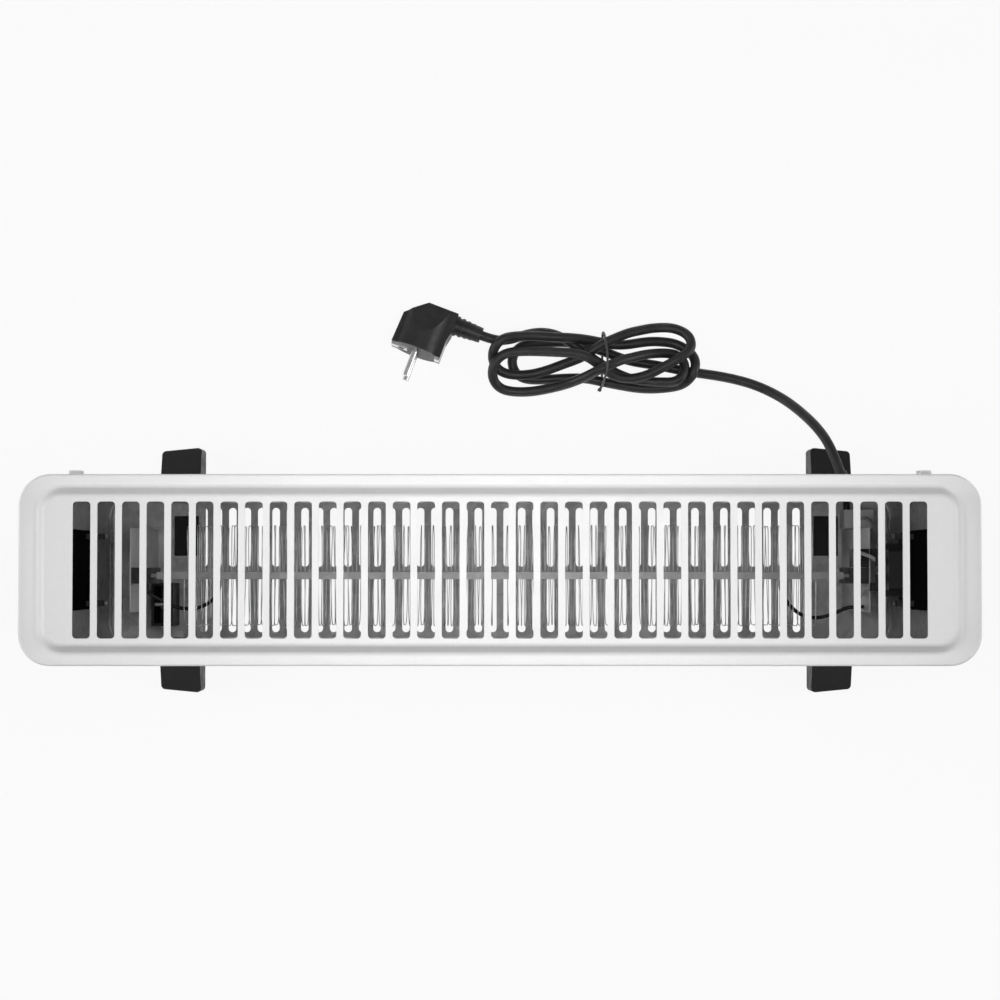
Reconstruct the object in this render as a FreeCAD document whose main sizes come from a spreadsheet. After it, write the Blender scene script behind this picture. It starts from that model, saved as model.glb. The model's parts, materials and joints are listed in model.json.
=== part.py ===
import FreeCAD, Part
import math
import os
import re
import Sketcher
from FreeCAD import Placement, Rotation, Vector

# Convector heater on its feet. The front faces -Y, the floor is Z = 0, sizes are in mm.

SIZES = {
    # Casing
    "body_width": 600.0,
    "body_depth": 119.5,
    "total_height": 385.0,
    "foot_height": 42.0,
    "corner_radius": 20.0,
    "sheet_gauge": 0.8,
    "cover_gap": 0.3,
    "fit_gap": 0.2,
    "skirt_depth": 10.0,
    "plateau_rise": 12.0,
    "plateau_radius": 11.0,
    "flange_side": 12.4,
    "flange_front": 8.1,
    "slope_run": 4.9,
    "slope_wall": 1.1,
    "rim_round": 1.4,
    "step_round": 3.0,
    "base_round": 3.2,
    "slot_pitch": 15.2,
    "slot_width": 11.0,
    "slot_length": 84.6,
    "slot_corner": 2.4,
    "slot_margin": 14.0,
    "seam_half": 30.0,
    "lap_width": 8.0,
    "plate_rim": 8.0,
    "vent_pitch": 11.05,
    "vent_width": 5.8,
    "vent_length": 45.0,
    "vent_gap": 5.0,
    "vent_margin": 3.4,
    "shield_stand": 7.0,
    "shield_lift": 5.2,
    "shield_drop": 42.2,
    "shield_end": 14.0,
    "end_bay": 37.7,
    "partition_half": 30.0,
    "partition_gap": 7.6,
    "partition_foot": 10.0,
    "partition_foot_half": 20.0,
    "spacer_inset": 28.9,
    "spacer_width": 8.0,
    "spacer_reach": 4.5,
    "spacer_tall": 14.0,
    "spacer_round": 3.0,
    "spacer_drop": 32.2,
    # Feet
    "foot_inset": 49.9,
    "foot_shift": 4.65,
    "foot_width": 30.4,
    "foot_reach": 94.5,
    "foot_skew": 3.0,
    "foot_round": 3.2,
    "shoulder_inset": 4.15,
    "tip_height": 27.0,
    "foot_wall": 4.0,
    "cell_length": 24.0,
    "cell_pitch": 32.0,
    "boss_width": 18.0,
    "boss_inset": 0.4,
    "boss_length": 30.0,
    "boss_place": 26.0,
    "boss_rise": 2.4,
    "pad_diameter": 16.0,
    "pad_thickness": 3.0,
    "pad_proud": 1.5,
    "pad_place": 78.0,
    "foot_screw_inset": 7.85,
    "screw_shank": 3.5,
    "screw_head": 7.5,
    "screw_head_tall": 2.4,
    "foot_screw_length": 14.0,
    # Hand cups and control panel
    "cup_width": 52.0,
    "cup_tall": 72.0,
    "cup_drop": 14.5,
    "cup_depth": 27.0,
    "cup_wall": 2.0,
    "cup_corner": 8.0,
    "peg_place": 22.0,
    "peg_drop": 20.0,
    "peg_width": 3.6,
    "peg_tall": 4.0,
    "peg_reach": 11.5,
    "lip_width": 2.5,
    "lip_gauge": 1.0,
    "tray_gap": 3.0,
    "tray_depth": 14.0,
    "tray_floor": 2.5,
    "control_margin": 7.0,
    "control_gap": 4.0,
    "rocker_space": 9.0,
    "end_screw_lift": 51.0,
    "end_screw_place": 25.0,
    "end_screw_length": 8.0,
    "end_screw_head": 7.0,
    # Thermostat
    "bushing_diameter": 8.0,
    "bushing_length": 7.0,
    "spindle_diameter": 6.0,
    "spindle_gap": 0.05,
    "spindle_depth": 12.0,
    "thermostat_width": 28.0,
    "thermostat_depth": 20.0,
    "nut_width": 12.0,
    "nut_tall": 2.5,
    "knob_diameter": 38.0,
    "knob_tall": 12.0,
    "knob_lift": 0.8,
    "knob_wall": 2.5,
    "knob_hub": 11.0,
    "pointer_width": 2.0,
    "pointer_length": 10.0,
    "pointer_depth": 0.8,
    # Rocker switches and pilot lamp
    "switch_width": 13.0,
    "switch_tall": 19.4,
    "switch_depth": 18.0,
    "switch_wall": 1.0,
    "switch_flange": 1.0,
    "switch_flange_gauge": 1.5,
    "rocker_gap": 0.3,
    "rocker_half": 8.0,
    "rocker_face": 5.4,
    "rocker_dip": 3.9,
    "rocker_keel": 5.0,
    "rocker_tilt": 10.0,
    "pivot_sink": 2.0,
    "pivot_diameter": 2.5,
    "tab_length": 7.0,
    "tab_width": 6.0,
    "tab_gauge": 0.8,
    "lamp_diameter": 6.0,
    "lamp_length": 16.0,
    "lamp_flange": 8.0,
    # Heating element
    "element_drop": 25.0,
    "element_offset": -4.0,
    "board_gauge": 2.6,
    "board_tall": 46.0,
    "board_end": 8.0,
    "rail_width": 5.0,
    "rail_tall": 8.0,
    "rail_end": 18.0,
    "holder_length": 14.0,
    "holder_width": 11.4,
    "turn_count": 24,
    "wire_diameter": 0.9,
    "wire_hole": 1.7,
    "loop_reach": 35.0,
    "loop_half": 12.0,
    "winding_gap": 4.0,
    "winding_end": 36.0,
    "stud_inset": 60.0,
    "stud_diameter": 6.0,
    "stud_tall": 1.6,
    "cutout_length": 11.0,
    "cutout_width": 13.0,
    "cutout_tall": 20.0,
    # Tilt switch
    "case_width": 16.0,
    "case_deep": 32.0,
    "case_tall": 36.0,
    "case_wall": 2.0,
    "swing_level": 30.0,
    "swing_length": 18.0,
    "bob_diameter": 9.0,
    "bob_length": 8.0,
    "arm_width": 3.0,
    "axle_diameter": 3.0,
    "axle_gap": 0.06,
    # Wiring
    "block_length": 22.0,
    "block_deep": 14.0,
    "block_tall": 24.0,
    "block_back": 12.35,
    "lead_diameter": 2.6,
    "lead_bow": 28.0,
    "supply_diameter": 5.0,
    "gland_inset": 36.4,
    "gland_lift": 18.0,
    "gland_flange": 16.0,
    "gland_flange_gauge": 2.0,
    "gland_neck": 11.0,
    "gland_inside": 6.2,
    "relief_length": 14.0,
    "relief_tip": 9.4,
    # Mains cord, hank and plug
    "cord_diameter": 7.6,
    "loop_count": 3,
    "hank_half": 60.4,
    "fold_radius": 15.5,
    "hank_fan": 8.7,
    "waist_half": 17.6,
    "waist_step": 7.6,
    "waist_shift": 3.1,
    "layer_step": 8.2,
    "tie_gauge": 1.2,
    "tie_width": 3.0,
    "tie_gap": 0.3,
    "tie_round": 0.7,
    "plug_radius": 19.75,
    "plug_depth": 37.8,
    "plug_round": 14.0,
    "plug_grip": 24.0,
    "plug_crown": 3.0,
    "plug_chin": 1.0,
    "plug_back": 13.8,
    "plug_angle": -20.5,
    "plug_roll": 7.2,
    "pin_diameter": 4.8,
    "pin_length": 22.0,
    "pin_spread": 9.5,
    "clip_width": 8.0,
    "clip_length": 14.0,
    "clip_gauge": 1.0,
    "clip_lip": 13.0,
    "clip_catch": 4.0,
    "earth_hole": 5.4,
    "earth_place": 11.5,
    "earth_depth": 16.0,
    "boot_root": 16.4,
    "boot_tip": 12.0,
    "boot_start": 21.5,
    "boot_end": 43.2,
    "boot_place": 30.4,
    "boot_ribs": 5,
    "boot_rib": 2.2,
}

# Places that several pieces share, worked out from the sizes.
PLACES = {
    "flange_top": "total_height - plateau_rise",
    "panel_top": "flange_top - sheet_gauge",
    "wall_x": "body_width / 2 - sheet_gauge - cover_gap",
    "wall_y": "body_depth / 2 - sheet_gauge - cover_gap",
    "wall_r": "corner_radius - sheet_gauge - cover_gap",
    "inner_x": "wall_x - 2 * sheet_gauge",
    "inner_y": "wall_y - sheet_gauge",
    "floor_top": "foot_height + sheet_gauge",
    "base_wide": "body_width - 2 * flange_side",
    "base_deep": "body_depth - 2 * flange_front",
    "plateau_wide": "base_wide - 2 * slope_run",
    "plateau_deep": "base_deep - 2 * slope_run",
    "slot_count": "floor((plateau_wide - 2 * slot_margin - slot_width) / slot_pitch) + 1",
    "foot_x": "body_width / 2 - foot_inset",
    "foot_inner": "foot_x - foot_width / 2",
    "foot_outer": "foot_x + foot_width / 2",
    "boss_x": "foot_inner + boss_inset + boss_width / 2",
    "foot_shoulder": "wall_y - shoulder_inset",
    "foot_screw_place": "inner_y - foot_screw_inset",
    "vent_span": "2 * (foot_inner - vent_margin) - vent_width",
    "vent_count": "floor(vent_span / vent_pitch) + 1",
    "partition_face": "wall_x - end_bay",
    "shield_half": "partition_face - shield_end",
    "shield_low": "floor_top + plate_rim + shield_lift",
    "shield_high": "panel_top - shield_drop",
    "spacer_level": "panel_top - spacer_drop",
    "cup_level": "flange_top - skirt_depth - cup_drop - lip_width - cup_tall / 2",
    "tray_high": "cup_level - cup_tall / 2 - 2 * lip_width - tray_gap",
    "knob_level": "tray_high - cup_wall - control_margin - knob_diameter / 2",
    "lamp_level": "knob_level - knob_diameter / 2 - control_gap - lamp_flange / 2",
    "switch_half": "switch_tall / 2 + switch_flange",
    "rocker_level": "lamp_level - lamp_flange / 2 - control_gap - switch_half",
    "rocker_y": "switch_width / 2 + switch_flange + rocker_space / 2",
    "tray_low": "rocker_level - switch_half - control_margin - cup_wall",
    "tray_tall": "tray_high - tray_low",
    "tray_level": "(tray_high + tray_low) / 2",
    "end_screw_level": "foot_height + end_screw_lift",
    "partition_high": "rocker_level - switch_tall / 2 - partition_gap",
    "element_level": "partition_high - element_drop",
    "gland_level": "foot_height + gland_lift",
    "tray_face": "wall_x - tray_depth",
    "tray_back": "tray_face - tray_floor",
    "rocker_x": "tray_face + switch_flange_gauge - pivot_sink",
    "switch_back": "tray_face - switch_depth",
    "spindle_tip": "tray_face + knob_lift + knob_tall - knob_wall",
    "hub_low": "tray_back + bushing_length + fit_gap",
    "board_half": "partition_face - board_end",
    "rail_half": "partition_face - rail_end",
    "winding_far": "partition_face - winding_end",
    "board_front": "element_offset - board_gauge / 2",
    "stud_x": "partition_face - stud_inset",
    "turn_pitch": "(winding_far - winding_gap) / turn_count",
    "case_x": "partition_face - fit_gap - case_width / 2",
    "case_place": "element_offset - holder_width / 2 - fit_gap - case_deep / 2",
    "swing_z": "floor_top + swing_level",
    "gland_x": "wall_x - gland_inset",
    "gland_face": "inner_y - gland_inside",
    "block_y": "inner_y - block_back - block_deep / 2",
    "plug_rise": "plug_radius * cos(plug_roll) + plug_round * sin(plug_roll)",
}

RELIEF_LEAN = Vector(-0.30, 0.94, -0.15)

# Free stretch of the cord, from the strain relief to the hank, as points on its route.
CORD_ROUTE = [
    (258.3, 73.8, 57.9),
    (252.6, 91.6, 55.0),
    (243.5, 106.5, 44.0),
    (231.5, 121.5, 26.0),
    (217.5, 134.0, 10.4),
    (198.0, 144.0, 4.0),
    (176.5, 150.0, 3.8),
    (155.0, 153.5, 3.8),
]
HANK_CENTRE = Vector(76.5, 166.0, 0.0)
PLUG_FACE = Vector(-65.6, 169.2, 0.0)
RUN_SHARE = 0.45

doc = FreeCAD.newDocument("convector_heater")
sheet = doc.addObject("Spreadsheet::Sheet", "sizes")
for row, (alias, number) in enumerate(SIZES.items(), start=1):
    sheet.set(f"A{row}", alias)
    sheet.set(f"B{row}", str(number))
    sheet.setAlias(f"B{row}", alias)
doc.recompute()

nodes = []


def formula(text):
    """Spell out named sizes and places as an expression on the sheet."""

    def spell(match):
        word = match.group(0)
        if word in PLACES:
            return "(" + formula(PLACES[word]) + ")"
        return f"sizes.{word}" if word in SIZES else word

    return re.sub(r"[a-z_]+", spell, text)


def value(text):
    """The number that a formula gives now."""
    return float(sheet.evalExpression(formula(text)))


def bind(item, **formulas):
    """Tie properties of an item to formulas."""
    for name, text in formulas.items():
        item.setExpression(name, formula(text))


def place(item, x="0", y="0", z="0"):
    """Tie the place of an item to formulas."""
    for axis, text in zip("xyz", (x, y, z)):
        item.setExpression(f"Placement.Base.{axis}", formula(text))


def keep(item):
    """Count an item as a sub-part to be written."""
    nodes.append(item)
    return item


def turn(item, axis, degrees):
    """Set the direction of an item."""
    item.Placement = Placement(Vector(), Rotation(Vector(*axis), degrees))


def along_x(item):
    turn(item, (0, 1, 0), 90)


def along_y(item):
    turn(item, (1, 0, 0), -90)


def add_point_constraint(sketch, geometry, point, x, y):
    """Fix a point of a sketch at formulas for its two coordinates."""
    for kind, text in (("DistanceX", x), ("DistanceY", y)):
        number = sketch.addConstraint(
            Sketcher.Constraint(kind, -1, 1, geometry, point, value(text)))
        sketch.setExpression(f"Constraints[{number}]", formula(text))


def add_radius(sketch, geometry, text):
    number = sketch.addConstraint(Sketcher.Constraint("Radius", geometry, value(text)))
    sketch.setExpression(f"Constraints[{number}]", formula(text))


def outline(sketch, *corners):
    """Closed outline through corners (x, y), or (x, y, radius) where square and rounded."""
    spots = [Vector(value(c[0]), value(c[1]), 0) for c in corners]
    count = len(corners)
    first = sketch.GeometryCount
    ways = [(spots[(i + 1) % count] - spots[i]).normalize() for i in range(count)]
    radii = [value(c[2]) if len(c) > 2 else 0.0 for c in corners]
    for i in range(count):
        start = spots[i] + ways[i] * radii[i]
        end = spots[(i + 1) % count] - ways[i] * radii[(i + 1) % count]
        sketch.addGeometry(Part.LineSegment(start, end), False)
    for i, corner in enumerate(corners):
        before = first + (i - 1) % count
        after = first + i
        if radii[i] == 0.0:
            sketch.addConstraint(Sketcher.Constraint("Coincident", before, 2, after, 1))
            add_point_constraint(sketch, after, 1, corner[0], corner[1])
            continue
        inward = ways[i] - ways[i - 1]
        centre = spots[i] + inward * radii[i]
        start = spots[i] - ways[i - 1] * radii[i]
        end = spots[i] + ways[i] * radii[i]
        middle = centre - inward * (radii[i] / math.sqrt(2))
        arc = sketch.addGeometry(Part.Arc(start, middle, end), False)
        left_turn = ways[i - 1].cross(ways[i]).z > 0
        entry, leave = (1, 2) if left_turn else (2, 1)
        sketch.addConstraint(Sketcher.Constraint("Tangent", before, 2, arc, entry))
        sketch.addConstraint(Sketcher.Constraint("Tangent", arc, leave, after, 1))
        add_radius(sketch, arc, corner[2])
        add_point_constraint(
            sketch, arc, 3,
            f"{corner[0]} + {round(inward.x)} * ({corner[2]})",
            f"{corner[1]} + {round(inward.y)} * ({corner[2]})")


def rounded(sketch, wide, deep, radius, x="0", y="0"):
    """Rectangle with rounded corners about a centre."""
    sides = ((-1, -1), (1, -1), (1, 1), (-1, 1))
    outline(sketch, *[
        (f"{x} + {sx} * ({wide}) / 2", f"{y} + {sy} * ({deep}) / 2", radius) for sx, sy in sides])


def square(sketch, wide, deep, x="0", y="0"):
    """Rectangle with sharp corners about a centre."""
    sides = ((-1, -1), (1, -1), (1, 1), (-1, 1))
    outline(sketch, *[
        (f"{x} + {sx} * ({wide}) / 2", f"{y} + {sy} * ({deep}) / 2") for sx, sy in sides])


def circle(sketch, diameter, x="0", y="0"):
    """Circle about a centre."""
    spot = Vector(value(x), value(y), 0)
    ring = sketch.addGeometry(Part.Circle(spot, Vector(0, 0, 1), value(diameter) / 2), False)
    add_radius(sketch, ring, f"({diameter}) / 2")
    add_point_constraint(sketch, ring, 3, x, y)


class Piece:
    """One body with the features that make it."""

    def __init__(self, label, written=True):
        self.body = doc.addObject("PartDesign::Body", label)
        self.label = label
        if written:
            keep(self.body)

    def sketch(self, role, offset="0"):
        """New sketch on an origin plane, moved along the plane's normal."""
        drawing = self.body.newObject("Sketcher::SketchObject", f"{self.label}_sketch")
        plane = next(f for f in self.body.Origin.OriginFeatures if f.Role == role)
        drawing.AttachmentSupport = [(plane, "")]
        drawing.MapMode = "FlatFace"
        drawing.setExpression("AttachmentOffset.Base.z", formula(offset))
        return drawing

    def feature(self, kind, drawing, **settings):
        item = self.body.newObject(f"PartDesign::{kind}", f"{self.label}_{kind.lower()}")
        item.Profile = drawing
        for name, setting in settings.items():
            setattr(item, name, setting)
        return item

    def pad(self, drawing, length, back=False, middle=False):
        item = self.feature("Pad", drawing, Reversed=back, Midplane=middle)
        bind(item, Length=length)
        doc.recompute()
        return item

    def pocket(self, drawing, length, back=False, middle=False):
        """Cut a sketch to a length, and make sure that it cut."""
        before = self.body.Shape.Volume
        item = self.feature("Pocket", drawing, Reversed=back, Midplane=middle)
        bind(item, Length=length)
        doc.recompute()
        if not self.body.Shape.Volume < before:
            raise RuntimeError(f"a pocket of {self.label} cuts nothing")
        return item

    def row(self, feature, drawing, step, count):
        """Repeat a feature in a row along the sketch's first axis."""
        item = self.body.newObject("PartDesign::LinearPattern", f"{self.label}_row")
        item.Originals = [feature]
        item.Direction = (drawing, ["H_Axis"])
        bind(item, Length=f"({step}) * (({count}) - 1)", Occurrences=count)
        self.body.Tip = item
        doc.recompute()
        return item

    def loft(self, low, high, hollow=False):
        item = self.feature("SubtractiveLoft" if hollow else "AdditiveLoft", low)
        item.Sections = [high]
        item.Ruled = True
        doc.recompute()
        return item

    def fillet(self, base, test, radius):
        """Round the edges of a feature that pass a test."""
        names = [f"Edge{i}" for i, edge in enumerate(base.Shape.Edges, start=1) if test(edge)]
        item = self.body.newObject("PartDesign::Fillet", f"{self.label}_fillet")
        item.Base = (base, names)
        bind(item, Radius=radius)
        doc.recompute()
        return item


def box(label, long, wide, tall, x, y, z):
    """Block by its lowest corner."""
    item = doc.addObject("Part::Box", label)
    bind(item, Length=long, Width=wide, Height=tall)
    place(item, x, y, z)
    return item


def cylinder(label, diameter, tall, x="0", y="0", z="0", axis=None):
    """Rod from the centre of its first end."""
    item = doc.addObject("Part::Cylinder", label)
    if axis:
        axis(item)
    bind(item, Radius=f"({diameter}) / 2", Height=tall)
    place(item, x, y, z)
    return item


def cut(label, base, tool):
    item = doc.addObject("Part::Cut", label)
    item.Base = base
    item.Tool = tool
    return item


def joined(label, shapes):
    item = doc.addObject("Part::MultiFuse", label)
    item.Shapes = shapes
    return item


def group(label, shapes):
    """Several like solids under one name."""
    item = keep(doc.addObject("Part::Compound", label))
    item.Links = shapes
    return item


def upright(edge):
    """Test for edges that stand along Z."""
    return edge.BoundBox.XLength < 1e-4 and edge.BoundBox.YLength < 1e-4


def at_level(z):
    """Test for edges that lie flat at a height."""
    return lambda edge: max(abs(edge.BoundBox.ZMin - z), abs(edge.BoundBox.ZMax - z)) < 1e-4


# Casing

def top_grille():
    cover = Piece("top_grille")
    skirt = cover.sketch("XY_Plane", "flange_top - skirt_depth")
    rounded(skirt, "body_width", "body_depth", "corner_radius")
    block = cover.pad(skirt, "skirt_depth")
    cover.fillet(block, at_level(value("flange_top")), "rim_round")
    low = cover.sketch("XY_Plane", "flange_top - rim_round / 4")
    rounded(low, "base_wide", "base_deep", "plateau_radius + slope_run")
    high = cover.sketch("XY_Plane", "total_height")
    rounded(high, "plateau_wide", "plateau_deep", "plateau_radius")
    hill = cover.loft(low, high)
    crown = cover.fillet(hill, at_level(value("total_height")), "step_round")
    flat = at_level(value("flange_top"))
    half = value("base_deep") / 2
    cover.fillet(crown, lambda edge: flat(edge) and -half < edge.BoundBox.YMin and edge.BoundBox.YMax < half,
                 "base_round")
    inside = cover.sketch("XY_Plane", "flange_top - skirt_depth")
    rounded(inside, "body_width - 2 * sheet_gauge", "body_depth - 2 * sheet_gauge",
            "corner_radius - sheet_gauge")
    cover.pocket(inside, "skirt_depth - sheet_gauge", back=True)
    low_inside = cover.sketch("XY_Plane", "panel_top - fit_gap")
    rounded(low_inside, "base_wide - 2 * slope_wall", "base_deep - 2 * slope_wall",
            "plateau_radius + slope_run - slope_wall")
    high_inside = cover.sketch("XY_Plane", "total_height - sheet_gauge")
    rounded(high_inside, "plateau_wide - 2 * slope_wall", "plateau_deep - 2 * slope_wall",
            "plateau_radius - slope_wall")
    cover.loft(low_inside, high_inside, hollow=True)
    slot = cover.sketch("XY_Plane", "total_height")
    rounded(slot, "slot_width", "slot_length", "slot_corner", "-(slot_count - 1) / 2 * slot_pitch")
    first = cover.pocket(slot, "plateau_rise")
    cover.row(first, slot, "slot_pitch", "slot_count")


def wrap_panel(label, side):
    """Long wall with its two rounded ends; side is -1 at the front and 1 at the back."""
    panel = Piece(label)
    plan = panel.sketch("XY_Plane", "foot_height")
    seam = f"{side} * seam_half"
    outer = f"{side} * wall_y"
    inner = f"{side} * inner_y"
    bend = "wall_r - sheet_gauge"
    outline(plan, ("-(wall_x)", seam), ("-(wall_x)", outer, "wall_r"), ("wall_x", outer, "wall_r"),
            ("wall_x", seam), ("wall_x - sheet_gauge", seam), ("wall_x - sheet_gauge", inner, bend),
            ("-(wall_x - sheet_gauge)", inner, bend), ("-(wall_x - sheet_gauge)", seam))
    panel.pad(plan, "panel_top - foot_height")
    return panel


def rear_panel():
    panel = wrap_panel("rear_panel", 1)
    hole = panel.sketch("XZ_Plane", "-(inner_y - sheet_gauge)")
    circle(hole, "gland_neck + 2 * fit_gap", "gland_x", "gland_level")
    panel.pocket(hole, "4 * sheet_gauge", back=False)


def end_panel(label, side, windows):
    """Flat end wall with lapped edges and windows (level, height)."""
    panel = Piece(label)
    back = side > 0
    height = "panel_top - foot_height"
    middle = "(panel_top + foot_height) / 2"
    outer = panel.sketch("YZ_Plane", f"{side} * wall_x")
    square(outer, "2 * (seam_half - fit_gap)", height, "0", middle)
    panel.pad(outer, "sheet_gauge", back=back)
    lap = panel.sketch("YZ_Plane", f"{side} * (wall_x - sheet_gauge)")
    square(lap, "2 * (seam_half + lap_width)", height, "0", middle)
    panel.pad(lap, "sheet_gauge", back=back)
    for level, tall in windows:
        window = panel.sketch("YZ_Plane", f"{side} * wall_x")
        rounded(window, "cup_width + 2 * fit_gap", f"{tall} + 2 * fit_gap", "cup_corner", "0", level)
        panel.pocket(window, "2 * sheet_gauge", back=not back)
    holes = panel.sketch("YZ_Plane", f"{side} * wall_x")
    for place_side in (-1, 1):
        circle(holes, "screw_shank + 2 * fit_gap", f"{place_side} * end_screw_place", "end_screw_level")
    panel.pocket(holes, "2 * sheet_gauge", back=not back)


def bottom_plate():
    plate = Piece("bottom_plate")
    wide = "2 * (inner_x - fit_gap)"
    deep = "2 * (inner_y - fit_gap)"
    plan = plate.sketch("XY_Plane", "foot_height")
    rounded(plan, wide, deep, "wall_r - sheet_gauge")
    plate.pad(plan, "sheet_gauge")
    rim = plate.sketch("XY_Plane", "floor_top")
    rounded(rim, wide, deep, "wall_r - sheet_gauge")
    rounded(rim, f"{wide} - 2 * sheet_gauge", f"{deep} - 2 * sheet_gauge", "wall_r - 2 * sheet_gauge")
    plate.pad(rim, "plate_rim")
    openings = plate.sketch("XY_Plane", "floor_top")
    for side in (-1, 1):
        square(openings, "boss_width + 2 * fit_gap", "boss_length + 2 * fit_gap",
               f"{side} * boss_x + foot_shift", "boss_place")
        for row_side in (-1, 1):
            circle(openings, "screw_shank + 2 * fit_gap", f"{side} * foot_x + foot_shift",
                   f"{row_side} * foot_screw_place")
    plate.pocket(openings, "sheet_gauge")
    vent = plate.sketch("XY_Plane", "floor_top")
    for row_side in (-1, 1):
        rounded(vent, "vent_width", "vent_length", "vent_width * 0.499",
                "-(vent_count - 1) / 2 * vent_pitch", f"{row_side} * (vent_gap + vent_length) / 2")
    first = plate.pocket(vent, "sheet_gauge")
    plate.row(first, vent, "vent_pitch", "vent_count")


def heat_shield(label, side):
    """Inner wall held off a long panel by its two flanges."""
    shield = Piece(label)
    section = shield.sketch("YZ_Plane")
    face = f"{side} * inner_y"
    web = f"{side} * (inner_y - shield_stand)"
    inside = f"{side} * (inner_y - shield_stand + sheet_gauge)"
    outline(section, (face, "shield_low"), (web, "shield_low"), (web, "shield_high"),
            (face, "shield_high"), (face, "shield_high - sheet_gauge"),
            (inside, "shield_high - sheet_gauge"), (inside, "shield_low + sheet_gauge"),
            (face, "shield_low + sheet_gauge"))
    shield.pad(section, "2 * shield_half", middle=True)


def partition(label, side):
    """Bracket that closes the end bay and carries the element; its foot points outwards."""
    wall = Piece(label)
    back = side < 0
    sheet_plan = wall.sketch("YZ_Plane", f"{side} * partition_face")
    square(sheet_plan, "2 * partition_half", "partition_high - floor_top", "0",
           "(partition_high + floor_top) / 2")
    wall.pad(sheet_plan, "sheet_gauge", back=back)
    foot = wall.sketch("YZ_Plane", f"{side} * partition_face")
    square(foot, "2 * partition_foot_half", "sheet_gauge", "0", "floor_top + sheet_gauge / 2")
    wall.pad(foot, "partition_foot", back=back)


def rear_spacers():
    blocks = []
    for side in (-1, 1):
        spacer = Piece("spacer", written=False)
        face = spacer.sketch("XZ_Plane", "-(wall_y)")
        rounded(face, "spacer_width", "spacer_tall", "spacer_round", f"{side} * (wall_x - spacer_inset)",
                "spacer_level")
        spacer.pad(face, "spacer_reach", back=True)
        blocks.append(spacer.body)
    group("rear_spacers", blocks)


# Feet

def foot(label, side):
    shoe = Piece(label)
    inner = f"{side} * foot_inner + foot_shift"
    outer = f"{side} * foot_outer + foot_shift"
    short = "foot_reach - foot_skew"
    plan = shoe.sketch("XY_Plane", "pad_proud")
    outline(plan, (inner, "-foot_reach"), (outer, f"-({short})"), (outer, short), (inner, "foot_reach"))
    block = shoe.pad(plan, "foot_height - pad_proud")
    shoe.fillet(block, upright, "foot_round")
    slopes = shoe.sketch("YZ_Plane", f"{side} * foot_x + foot_shift")
    over = "foot_height + foot_wall"
    past = "foot_reach + foot_wall"
    for end in (-1, 1):
        outline(slopes, (f"{end} * foot_shoulder", "foot_height"), (f"{end} * foot_reach", "tip_height"),
                (f"{end} * ({past})", "tip_height"), (f"{end} * ({past})", over),
                (f"{end} * foot_shoulder", over))
    shoe.pocket(slopes, "2 * foot_width", middle=True)
    cell = shoe.sketch("XY_Plane", "pad_proud")
    square(cell, "foot_width - 2 * foot_wall", "cell_length", f"{side} * foot_x + foot_shift", "0")
    for row_side in (-1, 1):
        square(cell, "foot_width - 2 * foot_wall", "cell_length", f"{side} * foot_x + foot_shift",
               f"{row_side} * cell_pitch")
    shoe.pocket(cell, "foot_height - pad_proud - foot_wall", back=True)
    seats = shoe.sketch("XY_Plane", "pad_proud")
    for end in (-1, 1):
        circle(seats, "pad_diameter + 2 * fit_gap", f"{side} * foot_x + foot_shift", f"{end} * pad_place")
    shoe.pocket(seats, "pad_thickness - pad_proud", back=True)
    boss = shoe.sketch("XY_Plane", "foot_height")
    square(boss, "boss_width", "boss_length", f"{side} * boss_x + foot_shift", "boss_place")
    shoe.pad(boss, "sheet_gauge + boss_rise")
    holes = shoe.sketch("XY_Plane", "foot_height")
    for end in (-1, 1):
        circle(holes, "screw_shank + 2 * fit_gap", f"{side} * foot_x + foot_shift",
               f"{end} * foot_screw_place")
    shoe.pocket(holes, "foot_screw_length + fit_gap")


def foot_pads():
    pads = []
    for side in (-1, 1):
        for end in (-1, 1):
            pads.append(cylinder("pad", "pad_diameter", "pad_thickness", f"{side} * foot_x + foot_shift",
                                 f"{end} * pad_place", "0"))
    group("foot_pads", pads)


def screw(head, head_tall, length, x, y, z, axis=None, side=1):
    """Pan-head screw; the head stands on its place and the shank points the other way."""
    top = cylinder("screw_head", head, head_tall, "0", "0", "0")
    shank = cylinder("screw_shank", "screw_shank", length, "0", "0", f"-({length})")
    item = joined("screw", [top, shank])
    if axis:
        turn(item, axis, 90 * side)
    place(item, x, y, z)
    return item


def foot_screws():
    screws = []
    for side in (-1, 1):
        for end in (-1, 1):
            screws.append(screw("screw_head", "screw_head_tall", "foot_screw_length",
                                f"{side} * foot_x + foot_shift", f"{end} * foot_screw_place", "floor_top"))
    group("foot_screws", screws)


def end_screws():
    screws = []
    for side in (-1, 1):
        for end in (-1, 1):
            screws.append(screw("end_screw_head", "lip_gauge", "end_screw_length", f"{side} * wall_x",
                                f"{end} * end_screw_place", "end_screw_level", (0, 1, 0), side))
    group("end_screws", screws)


# Hand cups and controls

def tub(label, side, level, tall, depth, floor_gauge):
    """Recess with a lip on the outside of an end wall."""
    cup = Piece(label)
    back = side > 0
    lip = cup.sketch("YZ_Plane", f"{side} * wall_x")
    rounded(lip, "cup_width + 2 * lip_width", f"{tall} + 2 * lip_width", "cup_corner + lip_width", "0", level)
    cup.pad(lip, "lip_gauge", back=not back)
    shell = cup.sketch("YZ_Plane", f"{side} * wall_x")
    rounded(shell, "cup_width", tall, "cup_corner", "0", level)
    cup.pad(shell, f"{depth} + {floor_gauge}", back=back)
    hollow = cup.sketch("YZ_Plane", f"{side} * (wall_x + lip_gauge)")
    rounded(hollow, "cup_width - 2 * cup_wall", f"{tall} - 2 * cup_wall", "cup_corner - cup_wall", "0", level)
    cup.pocket(hollow, f"{depth} + lip_gauge", back=not back)
    return cup


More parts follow.
